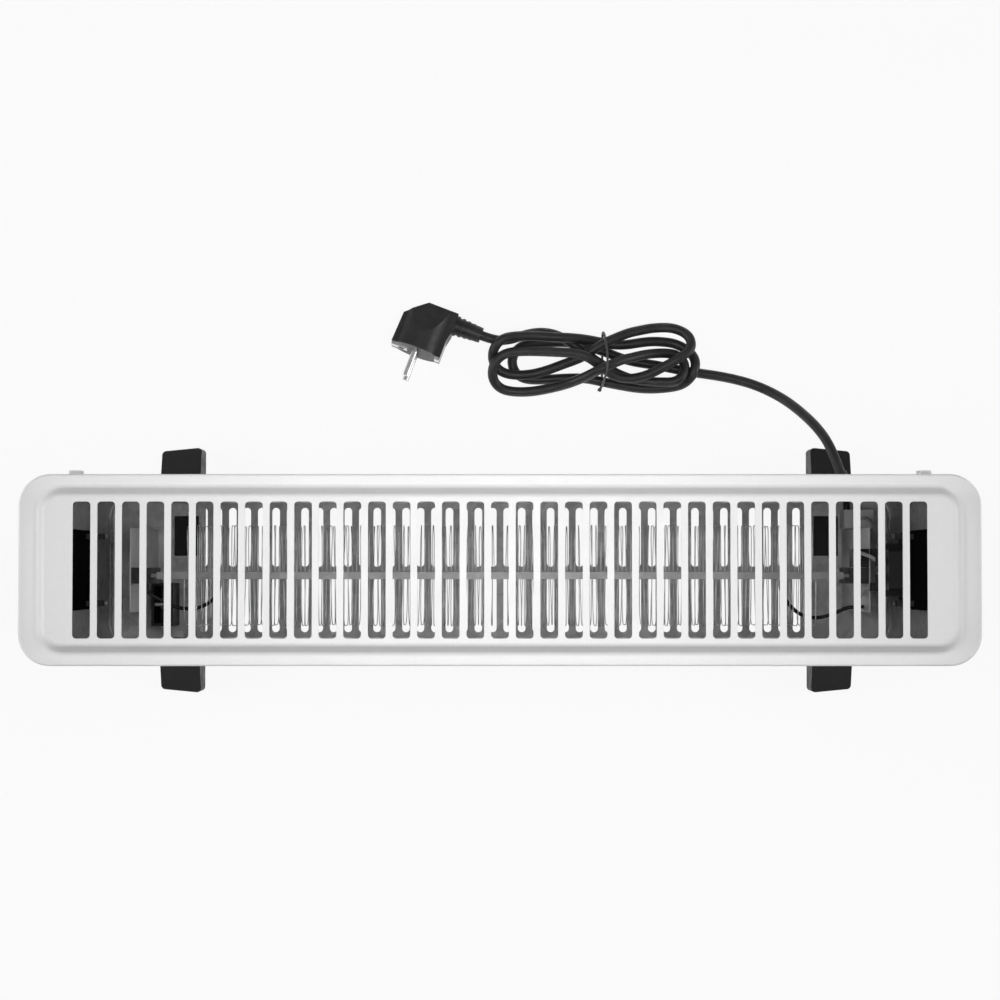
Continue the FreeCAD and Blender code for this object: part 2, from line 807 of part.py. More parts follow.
def hand_cup(label, side):
    """Grip recess with two pegs on the inside."""
    cup = tub(label, side, "cup_level", "cup_tall", "cup_depth - cup_wall", "cup_wall")
    pegs = cup.sketch("YZ_Plane", f"{side} * (wall_x - cup_depth)")
    for row_side in (-1, 1):
        square(pegs, "peg_width", "peg_tall", f"{row_side} * peg_place", "cup_level - peg_drop")
    cup.pad(pegs, "peg_reach", back=side > 0)


def control_panel():
    panel = tub("control_panel", 1, "tray_level", "tray_tall", "tray_depth", "tray_floor")
    holes = panel.sketch("YZ_Plane", "tray_face")
    circle(holes, "bushing_diameter + 2 * fit_gap", "0", "knob_level")
    circle(holes, "lamp_diameter + 2 * fit_gap", "0", "lamp_level")
    for side in (-1, 1):
        square(holes, "switch_width + 2 * fit_gap", "switch_tall + 2 * fit_gap", f"{side} * rocker_y",
               "rocker_level")
    panel.pocket(holes, "tray_floor")


def thermostat_body():
    item = Piece("thermostat_body")
    case = item.sketch("YZ_Plane", "tray_back")
    rounded(case, "thermostat_width", "thermostat_width", "cup_wall", "0", "knob_level")
    item.pad(case, "thermostat_depth", back=True)
    bushing = item.sketch("YZ_Plane", "tray_back")
    circle(bushing, "bushing_diameter", "0", "knob_level")
    item.pad(bushing, "bushing_length")
    bore = item.sketch("YZ_Plane", "tray_back + bushing_length")
    circle(bore, "spindle_diameter + 2 * spindle_gap", "0", "knob_level")
    item.pocket(bore, "bushing_length + spindle_depth")
    tabs = item.sketch("YZ_Plane", "tray_back - thermostat_depth")
    for side in (-1, 1):
        square(tabs, "tab_width", "tab_gauge", f"{side} * tab_width", "knob_level")
    item.pad(tabs, "tab_length", back=True)


def thermostat_nut():
    item = Piece("thermostat_nut")
    ring = item.sketch("YZ_Plane", "tray_face")
    half = "nut_width / 2"
    slant = "nut_width / 2 / tan(60)"
    outline(ring, (f"-({half})", f"knob_level - {slant}"), ("0", f"knob_level - 2 * ({slant})"),
            (half, f"knob_level - {slant}"), (half, f"knob_level + {slant}"),
            ("0", f"knob_level + 2 * ({slant})"), (f"-({half})", f"knob_level + {slant}"))
    circle(ring, "bushing_diameter + 2 * spindle_gap", "0", "knob_level")
    item.pad(ring, "nut_tall")


def thermostat_spindle():
    root = "tray_back - spindle_depth + fit_gap"
    keep(cylinder("thermostat_spindle", "spindle_diameter", f"spindle_tip - ({root})", root, "0",
                  "knob_level", along_x))


def thermostat_knob():
    knob = Piece("thermostat_knob")
    cap = knob.sketch("YZ_Plane", "tray_face + knob_lift")
    circle(cap, "knob_diameter", "0", "knob_level")
    body = knob.pad(cap, "knob_tall")
    face = value("tray_face + knob_lift + knob_tall")
    knob.fillet(body, lambda edge: abs(edge.BoundBox.XMin - face) < 1e-4, "rim_round")
    hollow = knob.sketch("YZ_Plane", "tray_face + knob_lift")
    circle(hollow, "knob_diameter - 2 * knob_wall", "0", "knob_level")
    knob.pocket(hollow, "knob_tall - knob_wall", back=True)
    hub = knob.sketch("YZ_Plane", "hub_low")
    circle(hub, "knob_hub", "0", "knob_level")
    knob.pad(hub, "spindle_tip - hub_low")
    bore = knob.sketch("YZ_Plane", "spindle_tip")
    circle(bore, "spindle_diameter", "0", "knob_level")
    knob.pocket(bore, "spindle_tip - hub_low")
    pointer = knob.sketch("YZ_Plane", "spindle_tip + knob_wall")
    square(pointer, "pointer_width", "pointer_length", "0",
           "knob_level + knob_diameter / 2 - control_gap - pointer_length / 2")
    knob.pocket(pointer, "pointer_depth")


def switch_housing(label, y):
    """Rocker switch body with its flange, pivot holes and tabs."""
    item = Piece(label)
    inside_wide = "switch_width - 2 * switch_wall"
    inside_tall = "switch_tall - 2 * switch_wall"
    flange = item.sketch("YZ_Plane", "tray_face")
    square(flange, "switch_width + 2 * switch_flange", "switch_tall + 2 * switch_flange", y, "rocker_level")
    item.pad(flange, "switch_flange_gauge")
    body = item.sketch("YZ_Plane", "tray_face")
    square(body, "switch_width", "switch_tall", y, "rocker_level")
    item.pad(body, "switch_depth", back=True)
    well = item.sketch("YZ_Plane", "tray_face + switch_flange_gauge")
    square(well, inside_wide, inside_tall, y, "rocker_level")
    item.pocket(well, "pivot_sink + rocker_half + switch_wall")
    pivot = item.sketch("XZ_Plane", f"-({y})")
    circle(pivot, "pivot_diameter + 2 * spindle_gap", "rocker_x", "rocker_level")
    item.pocket(pivot, "switch_width - 2 * fit_gap", middle=True)
    tabs = item.sketch("YZ_Plane", "switch_back")
    for side in (-1, 1):
        square(tabs, "tab_width", "tab_gauge", y, f"rocker_level + {side} * tab_width")
    item.pad(tabs, "tab_length", back=True)


def rocker(label, y):
    """Rocker about its pivot, tilted to its off position."""
    item = Piece(label)
    side_view = item.sketch("XZ_Plane")
    outline(side_view, ("rocker_dip", "0"), ("rocker_face", "rocker_half"), ("0", "rocker_half - rocker_gap"),
            ("-(rocker_keel)", "rocker_keel"), ("-(rocker_keel)", "-(rocker_keel)"),
            ("0", "-(rocker_half - rocker_gap)"), ("rocker_face", "-(rocker_half)"))
    item.pad(side_view, "switch_width - 2 * switch_wall - 2 * rocker_gap", middle=True)
    pivot = item.sketch("XZ_Plane")
    circle(pivot, "pivot_diameter")
    item.pad(pivot, "switch_width - 4 * fit_gap", middle=True)
    turn(item.body, (0, 1, 0), value("rocker_tilt"))
    item.body.setExpression("Placement.Rotation.Angle", formula("rocker_tilt"))
    place(item.body, "rocker_x", y, "rocker_level")


def pilot_lamp():
    lens = cylinder("lamp_lens", "lamp_flange", "switch_flange_gauge", "tray_face", "0", "lamp_level",
                    along_x)
    stem = cylinder("lamp_stem", "lamp_diameter", "lamp_length", "tray_face - lamp_length", "0",
                    "lamp_level", along_x)
    keep(joined("pilot_lamp", [lens, stem]))


# Heating element

def element_board():
    board = Piece("element_board")
    face = board.sketch("XZ_Plane", "-(element_offset)")
    square(face, "2 * board_half", "board_tall", "0", "element_level")
    board.pad(face, "board_gauge", middle=True)
    for side in (-1, 1):
        holes = board.sketch("XZ_Plane", "-(element_offset)")
        first = "-(winding_far)" if side < 0 else "winding_gap"
        circle(holes, "wire_hole", first, "element_level + loop_half")
        circle(holes, "wire_hole", f"{first} + turn_pitch / 2", "element_level - loop_half")
        stitch = board.pocket(holes, "2 * board_gauge", middle=True)
        board.row(stitch, holes, "turn_pitch", "turn_count")


def element_rail(label, side):
    """Channel that stiffens a long edge of the board; side is 1 at the top."""
    rail = Piece(label)
    section = rail.sketch("YZ_Plane")
    edge = f"element_level + {side} * (board_tall / 2 + fit_gap)"
    back = f"element_level + {side} * (board_tall / 2 + fit_gap + sheet_gauge)"
    mouth = f"element_level + {side} * (board_tall / 2 + sheet_gauge - rail_tall)"
    outer = "rail_width / 2"
    inner = "board_gauge / 2 + fit_gap / 2"
    outline(section, (f"element_offset - {outer}", mouth), (f"element_offset - {outer}", back),
            (f"element_offset + {outer}", back), (f"element_offset + {outer}", mouth),
            (f"element_offset + {inner}", mouth), (f"element_offset + {inner}", edge),
            (f"element_offset - ({inner})", edge), (f"element_offset - ({inner})", mouth))
    rail.pad(section, "2 * rail_half", middle=True)


def element_holder(label, side):
    """Ceramic block on the partition, with a slot for the end of the board."""
    name = f"{label}_block"
    low = "element_level - board_tall / 2 - sheet_gauge"
    tall = "board_tall + 2 * sheet_gauge"
    start = "partition_face - holder_length" if side > 0 else "-(partition_face)"
    block = box(name, "holder_length", "holder_width", tall, start,
                "element_offset - holder_width / 2", low)
    slot_start = "board_half + fit_gap - holder_length" if side > 0 else "-(board_half + fit_gap)"
    slot = box(f"{label}_slot", "holder_length", "board_gauge + 2 * fit_gap",
               "board_tall + 2 * fit_gap", slot_start, "element_offset - board_gauge / 2 - fit_gap",
               "element_level - board_tall / 2 - fit_gap")
    keep(cut(label, block, slot))


def swept(wire, radius):
    """Tube of round section along a wire."""
    start = wire.OrderedVertexes[0].Point
    first = wire.OrderedEdges[0]
    heading = first.tangentAt(first.FirstParameter)
    if (first.valueAt(first.FirstParameter) - start).Length > 1e-6:
        heading = -first.tangentAt(first.LastParameter)
    section = Part.Wire([Part.makeCircle(radius, start, heading)])
    shell = Part.BRepOffsetAPI.MakePipeShell(wire)
    shell.add(section)
    shell.build()
    shell.makeSolid()
    return shell.shape()


def solid(label, shape):
    """Sub-part from a shape of its own."""
    item = keep(doc.addObject("Part::Feature", label))
    item.Shape = shape
    item.Placement = Placement()


def least_gap(wire, diameter, step, apart):
    """Smallest free distance between stretches of a tube that are apart along it."""
    spots = wire.discretize(Distance=step)
    skip = int(apart / step)
    least = min(
        (spots[i] - spots[j]).Length
        for i in range(len(spots)) for j in range(i + skip, len(spots)))
    return least - diameter


def check_tube(label, shape, wire, radius):
    """Compare a tube's volume with its section times its length."""
    expected = math.pi * radius ** 2 * wire.Length
    ratio = shape.Volume / expected
    print(f"{label}: length {wire.Length:.1f} mm, volume ratio {ratio:.4f}")
    if abs(ratio - 1) > 0.02:
        raise RuntimeError(f"{label} has the wrong volume")


def heating_wire(label, side):
    """Wire wound through the board in long loops."""
    pitch = value("turn_pitch")
    half = value("loop_half")
    flat = value("loop_reach") - half
    level = value("element_level")
    middle = value("element_offset")
    first = -value("winding_far") if side < 0 else value("winding_gap")
    bulge = math.hypot(half, pitch / 4)
    edges = []
    turns = int(value("turn_count"))
    for number in range(turns):
        x = first + number * pitch
        near = middle - flat
        far = middle + flat
        upper = [Vector(x, far, level + half), Vector(x, near, level + half)]
        lower = [Vector(x + pitch / 2, near, level - half), Vector(x + pitch / 2, far, level - half)]
        edges.append(Part.LineSegment(*upper))
        edges.append(Part.Arc(upper[1], Vector(x + pitch / 4, near - bulge, level), lower[0]))
        edges.append(Part.LineSegment(*lower))
        if number < turns - 1:
            above = Vector(x + pitch, far, level + half)
            edges.append(Part.Arc(lower[1], Vector(x + pitch * 3 / 4, far + bulge, level), above))
    wire = Part.Wire([edge.toShape() for edge in edges])
    radius = value("wire_diameter") / 2
    shape = swept(wire, radius)
    check_tube(label, shape, wire, radius)
    print(f"{label}: least gap to itself {least_gap(wire, 2 * radius, 1.5, 40.0):.2f} mm")
    solid(label, shape)


def thermal_cutout():
    keep(box("thermal_cutout", "cutout_length", "cutout_width", "cutout_tall",
             "partition_face - cutout_length", "element_offset + holder_width / 2 + fit_gap",
             "partition_high - cutout_tall"))


def element_studs():
    studs = []
    for side in (-1, 1):
        studs.append(cylinder("stud", "stud_diameter", "stud_tall", f"{side} * stud_x",
                              "board_front - stud_tall", "element_level", along_y))
    group("element_studs", studs)


# Tilt switch

def tilt_case():
    case = Piece("tilt_case")
    plan = case.sketch("XY_Plane", "floor_top")
    square(plan, "case_width", "case_deep", "-(case_x)", "case_place")
    case.pad(plan, "case_tall")
    hollow = case.sketch("XY_Plane", "floor_top + case_tall")
    square(hollow, "case_width - 2 * case_wall", "case_deep - 2 * case_wall", "-(case_x)", "case_place")
    case.pocket(hollow, "case_tall - case_wall")
    axle = case.sketch("YZ_Plane", "-(case_x)")
    circle(axle, "axle_diameter + 2 * axle_gap", "case_place", "swing_z")
    case.pocket(axle, "case_width - case_wall", middle=True)


def tilt_pendulum():
    axle = cylinder("pendulum_axle", "axle_diameter", "case_width - case_wall - 2 * fit_gap",
                    "-(case_width - case_wall) / 2 + fit_gap", "0", "0", along_x)
    arm = box("pendulum_arm", "arm_width", "arm_width", "swing_length", "-(arm_width) / 2",
              "-(arm_width) / 2", "-(swing_length)")
    bob = cylinder("pendulum_bob", "bob_diameter", "bob_length", "-(bob_length) / 2", "0",
                   "-(swing_length)", along_x)
    item = keep(joined("tilt_pendulum", [axle, arm, bob]))
    place(item, "-(case_x)", "case_place", "swing_z")


# Wiring

def rounded_path(points):
    """Straight runs joined by tangent arcs, each as large as its two runs allow."""
    spots = [Vector(*point) for point in points]
    edges = []
    radii = []
    last = spots[0]
    for before, corner, after in zip(spots, spots[1:], spots[2:]):
        into = corner - before
        out = after - corner
        trim = RUN_SHARE * min(into.Length, out.Length)
        bend = into.getAngle(out)
        radii.append(trim / math.tan(bend / 2))
        into.normalize()
        out.normalize()
        start = corner - into * trim
        end = corner + out * trim
        inward = (out - into).normalize()
        sag = radii[-1] * (1 / math.cos(bend / 2) - 1)
        edges.append(Part.LineSegment(last, start))
        edges.append(Part.Arc(start, corner + inward * sag, end))
        last = end
    edges.append(Part.LineSegment(last, spots[-1]))
    return Part.Wire([edge.toShape() for edge in edges]), radii


def tube(label, points, diameter):
    """Tube of round section along rounded runs."""
    wire, radii = rounded_path(points)
    shape = swept(wire, diameter / 2)
    print(f"{label}: radii", ", ".join(f"{radius:.1f}" for radius in radii))
    check_tube(label, shape, wire, diameter / 2)
    solid(label, shape)


def terminal_block():
    keep(box("terminal_block", "block_length", "block_deep", "block_tall",
             "gland_x - supply_diameter / 2 - fit_gap", "block_y - block_deep / 2", "floor_top"))


def supply_lead():
    keep(cylinder("supply_lead", "supply_diameter", "gland_face - block_y - block_deep / 2", "gland_x",
                  "block_y + block_deep / 2", "gland_level", along_y))


def inside_leads():
    """Leads from the terminal block to the switches, thermostat, cut-out and element."""
    thick = value("lead_diameter")
    tab_x = value("switch_back")
    tab_z = value("rocker_level - tab_width - tab_gauge / 2")
    spread = value("rocker_y")
    block_x = value("gland_x") + value("block_length") / 2
    block_y = value("block_y")
    block_top = value("floor_top + block_tall")
    rise = tab_z - block_top
    feed_x = tab_x - 0.7 * thick
    tube("lead_feed", [
        (block_x, block_y, block_top),
        (block_x, block_y, block_top + 0.14 * rise),
        (block_x + 0.2 * thick, block_y - 1.15 * thick, block_top + 0.34 * rise),
        (block_x, block_y - 3.85 * thick, block_top + 0.55 * rise),
        (block_x - 0.4 * thick, spread + 3.5 * thick, block_top + 0.72 * rise),
        (tab_x + 1.5 * thick, spread + 0.8 * thick, tab_z - 5.2 * thick),
        (feed_x, spread, tab_z - 2.15 * thick),
        (feed_x, spread, tab_z)], thick)
    level = value("element_level")
    front = value("element_offset - holder_width / 2")
    drop = tab_z - level
    inner = tab_x - value("tab_length") + thick / 2 + value("fit_gap")
    holder_x = inner - 1.8 * thick
    low = level - 1.9 * thick
    tube("lead_return", [
        (inner, -spread, tab_z),
        (inner - 0.15 * thick, -spread - 0.1 * thick, tab_z - 0.1 * drop),
        (inner - 0.95 * thick, -spread - 0.5 * thick, tab_z - 0.3 * drop),
        (inner - 1.35 * thick, front - 2.9 * thick, tab_z - 0.62 * drop),
        (inner - 1.6 * thick, front - 3.8 * thick, tab_z - 0.9 * drop),
        (holder_x, front - 2.4 * thick, low),
        (holder_x, front, low)], thick)
    knob_z = value("knob_level - tab_gauge / 2")
    cutout_z = value("partition_high")
    fall = knob_z - cutout_z
    bushing_x = value("tray_back - thermostat_depth - tab_length / 2")
    start_y = value("tab_width")
    end_x = value("partition_face - cutout_length * 0.7")
    end_y = value("element_offset + holder_width / 2 + fit_gap + cutout_width / 2")
    tube("lead_cutout", [
        (bushing_x, start_y, knob_z),
        (bushing_x, start_y + 0.1 * thick, knob_z - 0.18 * fall),
        (bushing_x - 1.15 * thick, start_y + 1.35 * thick, knob_z - 0.41 * fall),
        (end_x - 1.15 * thick, end_y + 1.5 * thick, knob_z - 0.65 * fall),
        (end_x, end_y, knob_z - 0.86 * fall),
        (end_x, end_y, cutout_z)], thick)
    stud = value("stud_x")
    face = value("partition_face")
    span = face - stud
    bow = value("lead_bow")
    near = value("board_front - stud_tall")
    tube("lead_element", [
        (stud, near, level),
        (stud, near - 0.21 * bow, level),
        (stud + 0.07 * span, near - 0.55 * bow, level - 0.04 * bow),
        (stud + 0.23 * span, near - 0.9 * bow, level - 0.1 * bow),
        (stud + 0.43 * span, near - bow, level - 0.14 * bow),
        (stud + 0.63 * span, near - 0.9 * bow, level - 0.1 * bow),
        (stud + 0.8 * span, near - 0.71 * bow, level - 0.04 * bow),
        (stud + 0.95 * span, near - 0.7 * bow, level),
        (face, near - 0.7 * bow, level)], thick)
    case_end = -stud - 0.873 * span
    tube("lead_tilt", [
        (-stud, near, level),
        (-stud, near - 0.21 * bow, level),
        (-stud - 0.083 * span, near - 0.54 * bow, level - 0.07 * bow),
        (-stud - 0.27 * span, near - 0.75 * bow, level - 0.14 * bow),
        (-stud - 0.48 * span, near - 0.75 * bow, level - 0.14 * bow),
        (-stud - 0.68 * span, near - 0.57 * bow, level - 0.09 * bow),
        (-stud - 0.83 * span, near - 0.375 * bow, level - 0.035 * bow),
        (case_end, front - 0.2 * bow, level),
        (case_end, front, level)], thick)


def strain_relief():
    outside = cylinder("relief_flange", "gland_flange", "gland_flange_gauge", "gland_x", "wall_y",
                       "gland_level", along_y)
    neck = cylinder("relief_neck", "gland_neck", "sheet_gauge", "gland_x", "inner_y", "gland_level", along_y)
    inside = cylinder("relief_inside", "gland_flange", "gland_inside", "gland_x", "gland_face",
                      "gland_level", along_y)
    sleeve = doc.addObject("Part::Cone", "relief_sleeve")
    sleeve.Placement = Placement(Vector(), Rotation(Vector(0, 0, 1), RELIEF_LEAN))
    bind(sleeve, Radius1="gland_neck / 2", Radius2="relief_tip / 2", Height="relief_length")
    place(sleeve, "gland_x", "wall_y + gland_flange_gauge", "gland_level")
    keep(joined("strain_relief", [inside, neck, outside, sleeve]))


# Mains cord

def arc_from(start, heading, end):
    """Arc, or line, that leaves a point along a heading and ends at a point."""
    chord = end - start
    across = heading - chord * (heading.dot(chord) / chord.dot(chord))
    if across.Length < 1e-6:
        return Part.LineSegment(start, end)
    half_angle = heading.getAngle(chord) / 2
    rise = chord.Length / 2 * math.tan(half_angle)
    return Part.Arc(start, (start + end) / 2 + across.normalize() * rise, end)


def biarc(start, heading, end, leaving):
    """Two tangent arcs between two points with headings."""
    span = end - start
    both = heading + leaving
    open_angle = 1 - heading.dot(leaving)
    if open_angle < 1e-9:
        reach = span.dot(span) / (4 * span.dot(leaving))
    else:
        root = math.sqrt(span.dot(both) ** 2 + 2 * open_angle * span.dot(span))
        reach = (root - span.dot(both)) / (2 * open_angle)
    middle = (start + end + (heading - leaving) * reach) / 2
    first = arc_from(start, heading, middle)
    second = arc_from(end, leaving * -1, middle)
    if isinstance(second, Part.LineSegment):
        return [first, Part.LineSegment(middle, end)]
    mid_second = second.value((second.FirstParameter + second.LastParameter) / 2)
    return [first, Part.Arc(middle, mid_second, end)]


def plug_lie():
    """Turn of the plug as it lies: round the upright, then rolled about its cord, face up."""
    roll = Rotation(Vector(1, 0, 0), -value("plug_roll"))
    return Rotation(Vector(0, 0, 1), value("plug_angle")).multiply(roll)


def plug_spot(along, back, up=0.0):
    """Point in the plug's own frame: along the cord, back from the face and up."""
    return PLUG_FACE + plug_lie().multVec(Vector(along, back, up)) + Vector(0, 0, value("plug_rise"))


def hank_stations():
    """Points and headings of the hank's loops: folds, and runs drawn in at the waist."""
    half = value("hank_half")
    fold = value("fold_radius")
    fan = value("hank_fan")
    waist = value("waist_half")
    step = value("waist_step")
    shift = value("waist_shift")
    loops = int(value("loop_count"))
    low = value("cord_diameter / 2 + tie_gauge + tie_gap")
    layer = value("layer_step")
    left = Vector(-1, 0, 0)
    right = Vector(1, 0, 0)

    def spot(x, y, level):
        return HANK_CENTRE + Vector(x, y, low + level * layer)

    for loop in range(loops):
        swing = fan * (loop - (loops - 1) / 2)
        yield spot(shift, -(waist - step * ((loop + 1) % 2)), loop), left
        yield spot(-half, -swing - fold, loop), left
        yield spot(-half, -swing + fold, loop), right
        yield spot(shift, waist - step * (loop % 2), loop), right
        yield spot(half, swing + fold, loop + 1), right
        yield spot(half, swing - fold, loop + 1), left
    yield spot(shift, 0, loops), Vector(-0.99, 0.14, 0).normalize()
    yield spot(-half, fold * 0.9, loops), Vector(-0.98, 0.2, 0).normalize()


def cord_hank():
    """Loops of the cord between the free stretch and the plug, as one tube."""
    diameter = value("cord_diameter")
    entry = Vector(*CORD_ROUTE[-1])
    entry_way = (entry - Vector(*CORD_ROUTE[-2])).normalize()
    end = plug_spot(value("boot_end"), value("boot_place"))
    end_way = (plug_spot(0, 0) - plug_spot(1, 0)).normalize()
    spots = [(entry + entry_way * diameter, entry_way), *hank_stations()]
    spots.append((end - end_way * diameter, end_way))
    edges = [Part.LineSegment(entry, spots[0][0])]
    for (start, heading), (finish, leaving) in zip(spots, spots[1:]):
        edges.extend(biarc(start, heading, finish, leaving))
    edges.append(Part.LineSegment(spots[-1][0], end))
    wire = Part.Wire([edge.toShape() for edge in edges])
    shape = swept(wire, diameter / 2)
    check_tube("cord_hank", shape, wire, diameter / 2)
    gap = least_gap(wire, diameter, 1.5, 30.0)
    print(f"cord_hank: least gap to itself {gap:.2f} mm")
    solid("cord_hank", shape)


def cord_tie():
    """Band round the waist of the hank."""
    tall = value("cord_diameter + layer_step * loop_count + 2 * tie_gap")
    wide = value("2 * waist_half + cord_diameter + 2 * tie_gap")
    gauge = value("tie_gauge")
    width = value("tie_width")
    corner = Vector(HANK_CENTRE.x + value("waist_shift") - width / 2, HANK_CENTRE.y - wide / 2 - gauge, 0)
    outer = Part.makeBox(width, wide + 2 * gauge, tall + 2 * gauge, corner)
    inner = Part.makeBox(width, wide, tall, corner + Vector(0, gauge, gauge))
    band = outer.cut(inner)
    outside = tall / 2 + gauge / 2
    corners = [
        edge for edge in band.Edges
        if abs(edge.tangentAt(0).x) > 0.99 and abs(edge.CenterOfMass.z - tall / 2 - gauge) > outside]
    solid("cord_tie", band.makeFillet(value("tie_round"), corners))


def plug_placed(item):
    """Lay a piece of the plug down in the plug's frame."""
    item.Placement = Placement(PLUG_FACE, plug_lie())
    place(item, str(PLUG_FACE.x), str(PLUG_FACE.y), "plug_rise")
    return item


def plug_body():
    block = Piece("plug_outline", written=False)
    side_view = block.sketch("XY_Plane")
    outline(side_view, ("-(plug_radius)", "0"), ("plug_radius", "0"), ("plug_radius", "clip_length"),
            ("boot_start", "boot_place - boot_root / 2"),
            ("boot_start", "boot_place + boot_root / 2 - plug_chin"), ("-(plug_crown)", "plug_depth"),
            ("-(plug_radius - plug_chin)", "plug_depth - plug_back"))
    block.pad(side_view, "2 * plug_radius", middle=True)
    slim = Piece("plug_profile", written=False)
    end_view = slim.sketch("YZ_Plane")
    outline(end_view, ("0", "-(plug_radius)"), ("plug_round", "-(plug_radius)"),
            ("plug_depth", "-(plug_grip) / 2"), ("plug_depth", "plug_grip / 2"),
            ("plug_round", "plug_radius"), ("0", "plug_radius"))
    slim.pad(end_view, "4 * plug_radius", middle=True)
    face = cylinder("plug_barrel", "2 * plug_radius", "plug_depth", "0", "0", "0", along_y)
    grip = box("plug_tail", "plug_radius + boot_start", "plug_depth", "plug_grip", "-(plug_radius)", "0",
               "-(plug_grip) / 2")
    core = joined("plug_core", [face, grip])
    trimmed = doc.addObject("Part::MultiCommon", "plug_form")
    trimmed.Shapes = [block.body, slim.body, core]
    recesses = [
        box("clip_recess", "2 * clip_gauge", "clip_length + fit_gap", "clip_width + 2 * fit_gap",
            start, "0", "-(clip_width) / 2 - fit_gap")
        for start in ("plug_radius - clip_gauge", "-(plug_radius) - clip_gauge")]
    recesses.append(cylinder("earth_bore", "earth_hole", "earth_depth", "-(earth_place)", "0", "0", along_y))
    keep(plug_placed(cut("plug_body", trimmed, joined("clip_recesses", recesses))))


def plug_pins():
    pins = []
    for side in (-1, 1):
        pins.append(cylinder("pin", "pin_diameter", "pin_length", "0", "-(pin_length)",
                             f"{side} * pin_spread", along_y))
    plug_placed(group("plug_pins", pins))


def plug_clips():
    """Earth contacts down both sides, bent over the face; one is pierced for the earth pin."""
    low = "-(clip_width) / 2"
    clips = []
    for start, lip_start, reach in (("-(plug_radius)", "-(plug_radius)", "clip_lip"),
                                    ("plug_radius - clip_gauge", "plug_radius - clip_catch", "clip_catch")):
        leg = box("clip_leg", "clip_gauge", "clip_length", "clip_width", start, "0", low)
        lip = box("clip_lip", reach, "clip_gauge", "clip_width", lip_start, "-(clip_gauge)", low)
        clips.append(joined("clip", [leg, lip]))
    bore = cylinder("clip_bore", "earth_hole", "2 * clip_gauge", "-(earth_place)", "-(2 * clip_gauge)", "0",
                    along_y)
    clips[0] = cut("clip", clips[0], bore)
    plug_placed(group("plug_clips", clips))


def plug_boot():
    sleeve = doc.addObject("Part::Cone", "boot_sleeve")
    along_x(sleeve)
    length = "boot_end - boot_start"
    bind(sleeve, Radius1="boot_root / 2 - boot_rib / 2", Radius2="boot_tip / 2", Height=length)
    place(sleeve, "boot_start", "boot_place", "0")
    ribs = [sleeve]
    for number in range(int(value("boot_ribs"))):
        share = f"({number} + 0.5) / boot_ribs"
        ribs.append(cylinder(
            "boot_rib", f"boot_root - (boot_root - boot_tip) * {share}", "boot_rib",
            f"boot_start + ({length}) * {number} / boot_ribs", "boot_place", "0", along_x))
    plug_placed(keep(joined("plug_boot", ribs)))


def build():
    top_grille()
    wrap_panel("front_panel", -1)
    rear_panel()
    end_panel("left_end_panel", -1, [("cup_level", "cup_tall")])
    end_panel("right_end_panel", 1, [("cup_level", "cup_tall"), ("tray_level", "tray_tall")])
    bottom_plate()
    for name, side in (("front_heat_shield", -1), ("rear_heat_shield", 1)):
        heat_shield(name, side)
    for name, side in (("left_partition", -1), ("right_partition", 1)):
        partition(name, side)
    rear_spacers()
    for name, side in (("left_foot", -1), ("right_foot", 1)):
        foot(name, side)
    foot_pads()
    foot_screws()
    end_screws()
    for name, side in (("left_hand_cup", -1), ("right_hand_cup", 1)):
        hand_cup(name, side)
    control_panel()
    thermostat_body()
    thermostat_nut()
    thermostat_spindle()
    thermostat_knob()
    for name, y in (("front", "-(rocker_y)"), ("rear", "rocker_y")):
        switch_housing(f"{name}_switch_housing", y)
        rocker(f"{name}_rocker", y)
    pilot_lamp()
    element_board()
    element_rail("element_top_rail", 1)
    element_rail("element_bottom_rail", -1)
    for name, side in (("left", -1), ("right", 1)):
        element_holder(f"{name}_element_holder", side)
        heating_wire(f"{name}_heating_wire", side)
    element_studs()
    thermal_cutout()
    tilt_case()
    tilt_pendulum()
    terminal_block()
    supply_lead()
    inside_leads()
    strain_relief()
    tube("mains_cord", CORD_ROUTE, value("cord_diameter"))
    cord_hank()
    cord_tie()
    plug_body()
    plug_pins()
    plug_clips()
    plug_boot()


def write():
    """Check every object, then write each sub-part."""
    doc.recompute()
    failed = [item.Label for item in doc.Objects if {"Invalid", "Error"} & set(item.State)]
    failed += [item.Label for item in nodes if item.Shape.isNull() or not item.Shape.isValid()]
    if failed:
        raise RuntimeError("failed: " + ", ".join(failed))
    os.makedirs("parts", exist_ok=True)
    for item in nodes:
        item.Shape.exportStep(f"parts/{item.Label}.step")
    print(len(nodes), "sub-parts written")


build()
write()
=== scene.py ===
import json
import math

import bmesh
import bpy
from mathutils import Matrix, Vector


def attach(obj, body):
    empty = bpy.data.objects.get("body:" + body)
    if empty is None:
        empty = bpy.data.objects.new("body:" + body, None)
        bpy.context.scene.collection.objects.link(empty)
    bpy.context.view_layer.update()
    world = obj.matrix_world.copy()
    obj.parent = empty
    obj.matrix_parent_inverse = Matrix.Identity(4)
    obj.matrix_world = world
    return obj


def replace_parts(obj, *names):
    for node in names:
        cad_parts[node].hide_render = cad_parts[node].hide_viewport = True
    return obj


# Convector heater seen from above. The front faces -Y, the floor is Z = 0, lengths and places are in mm.

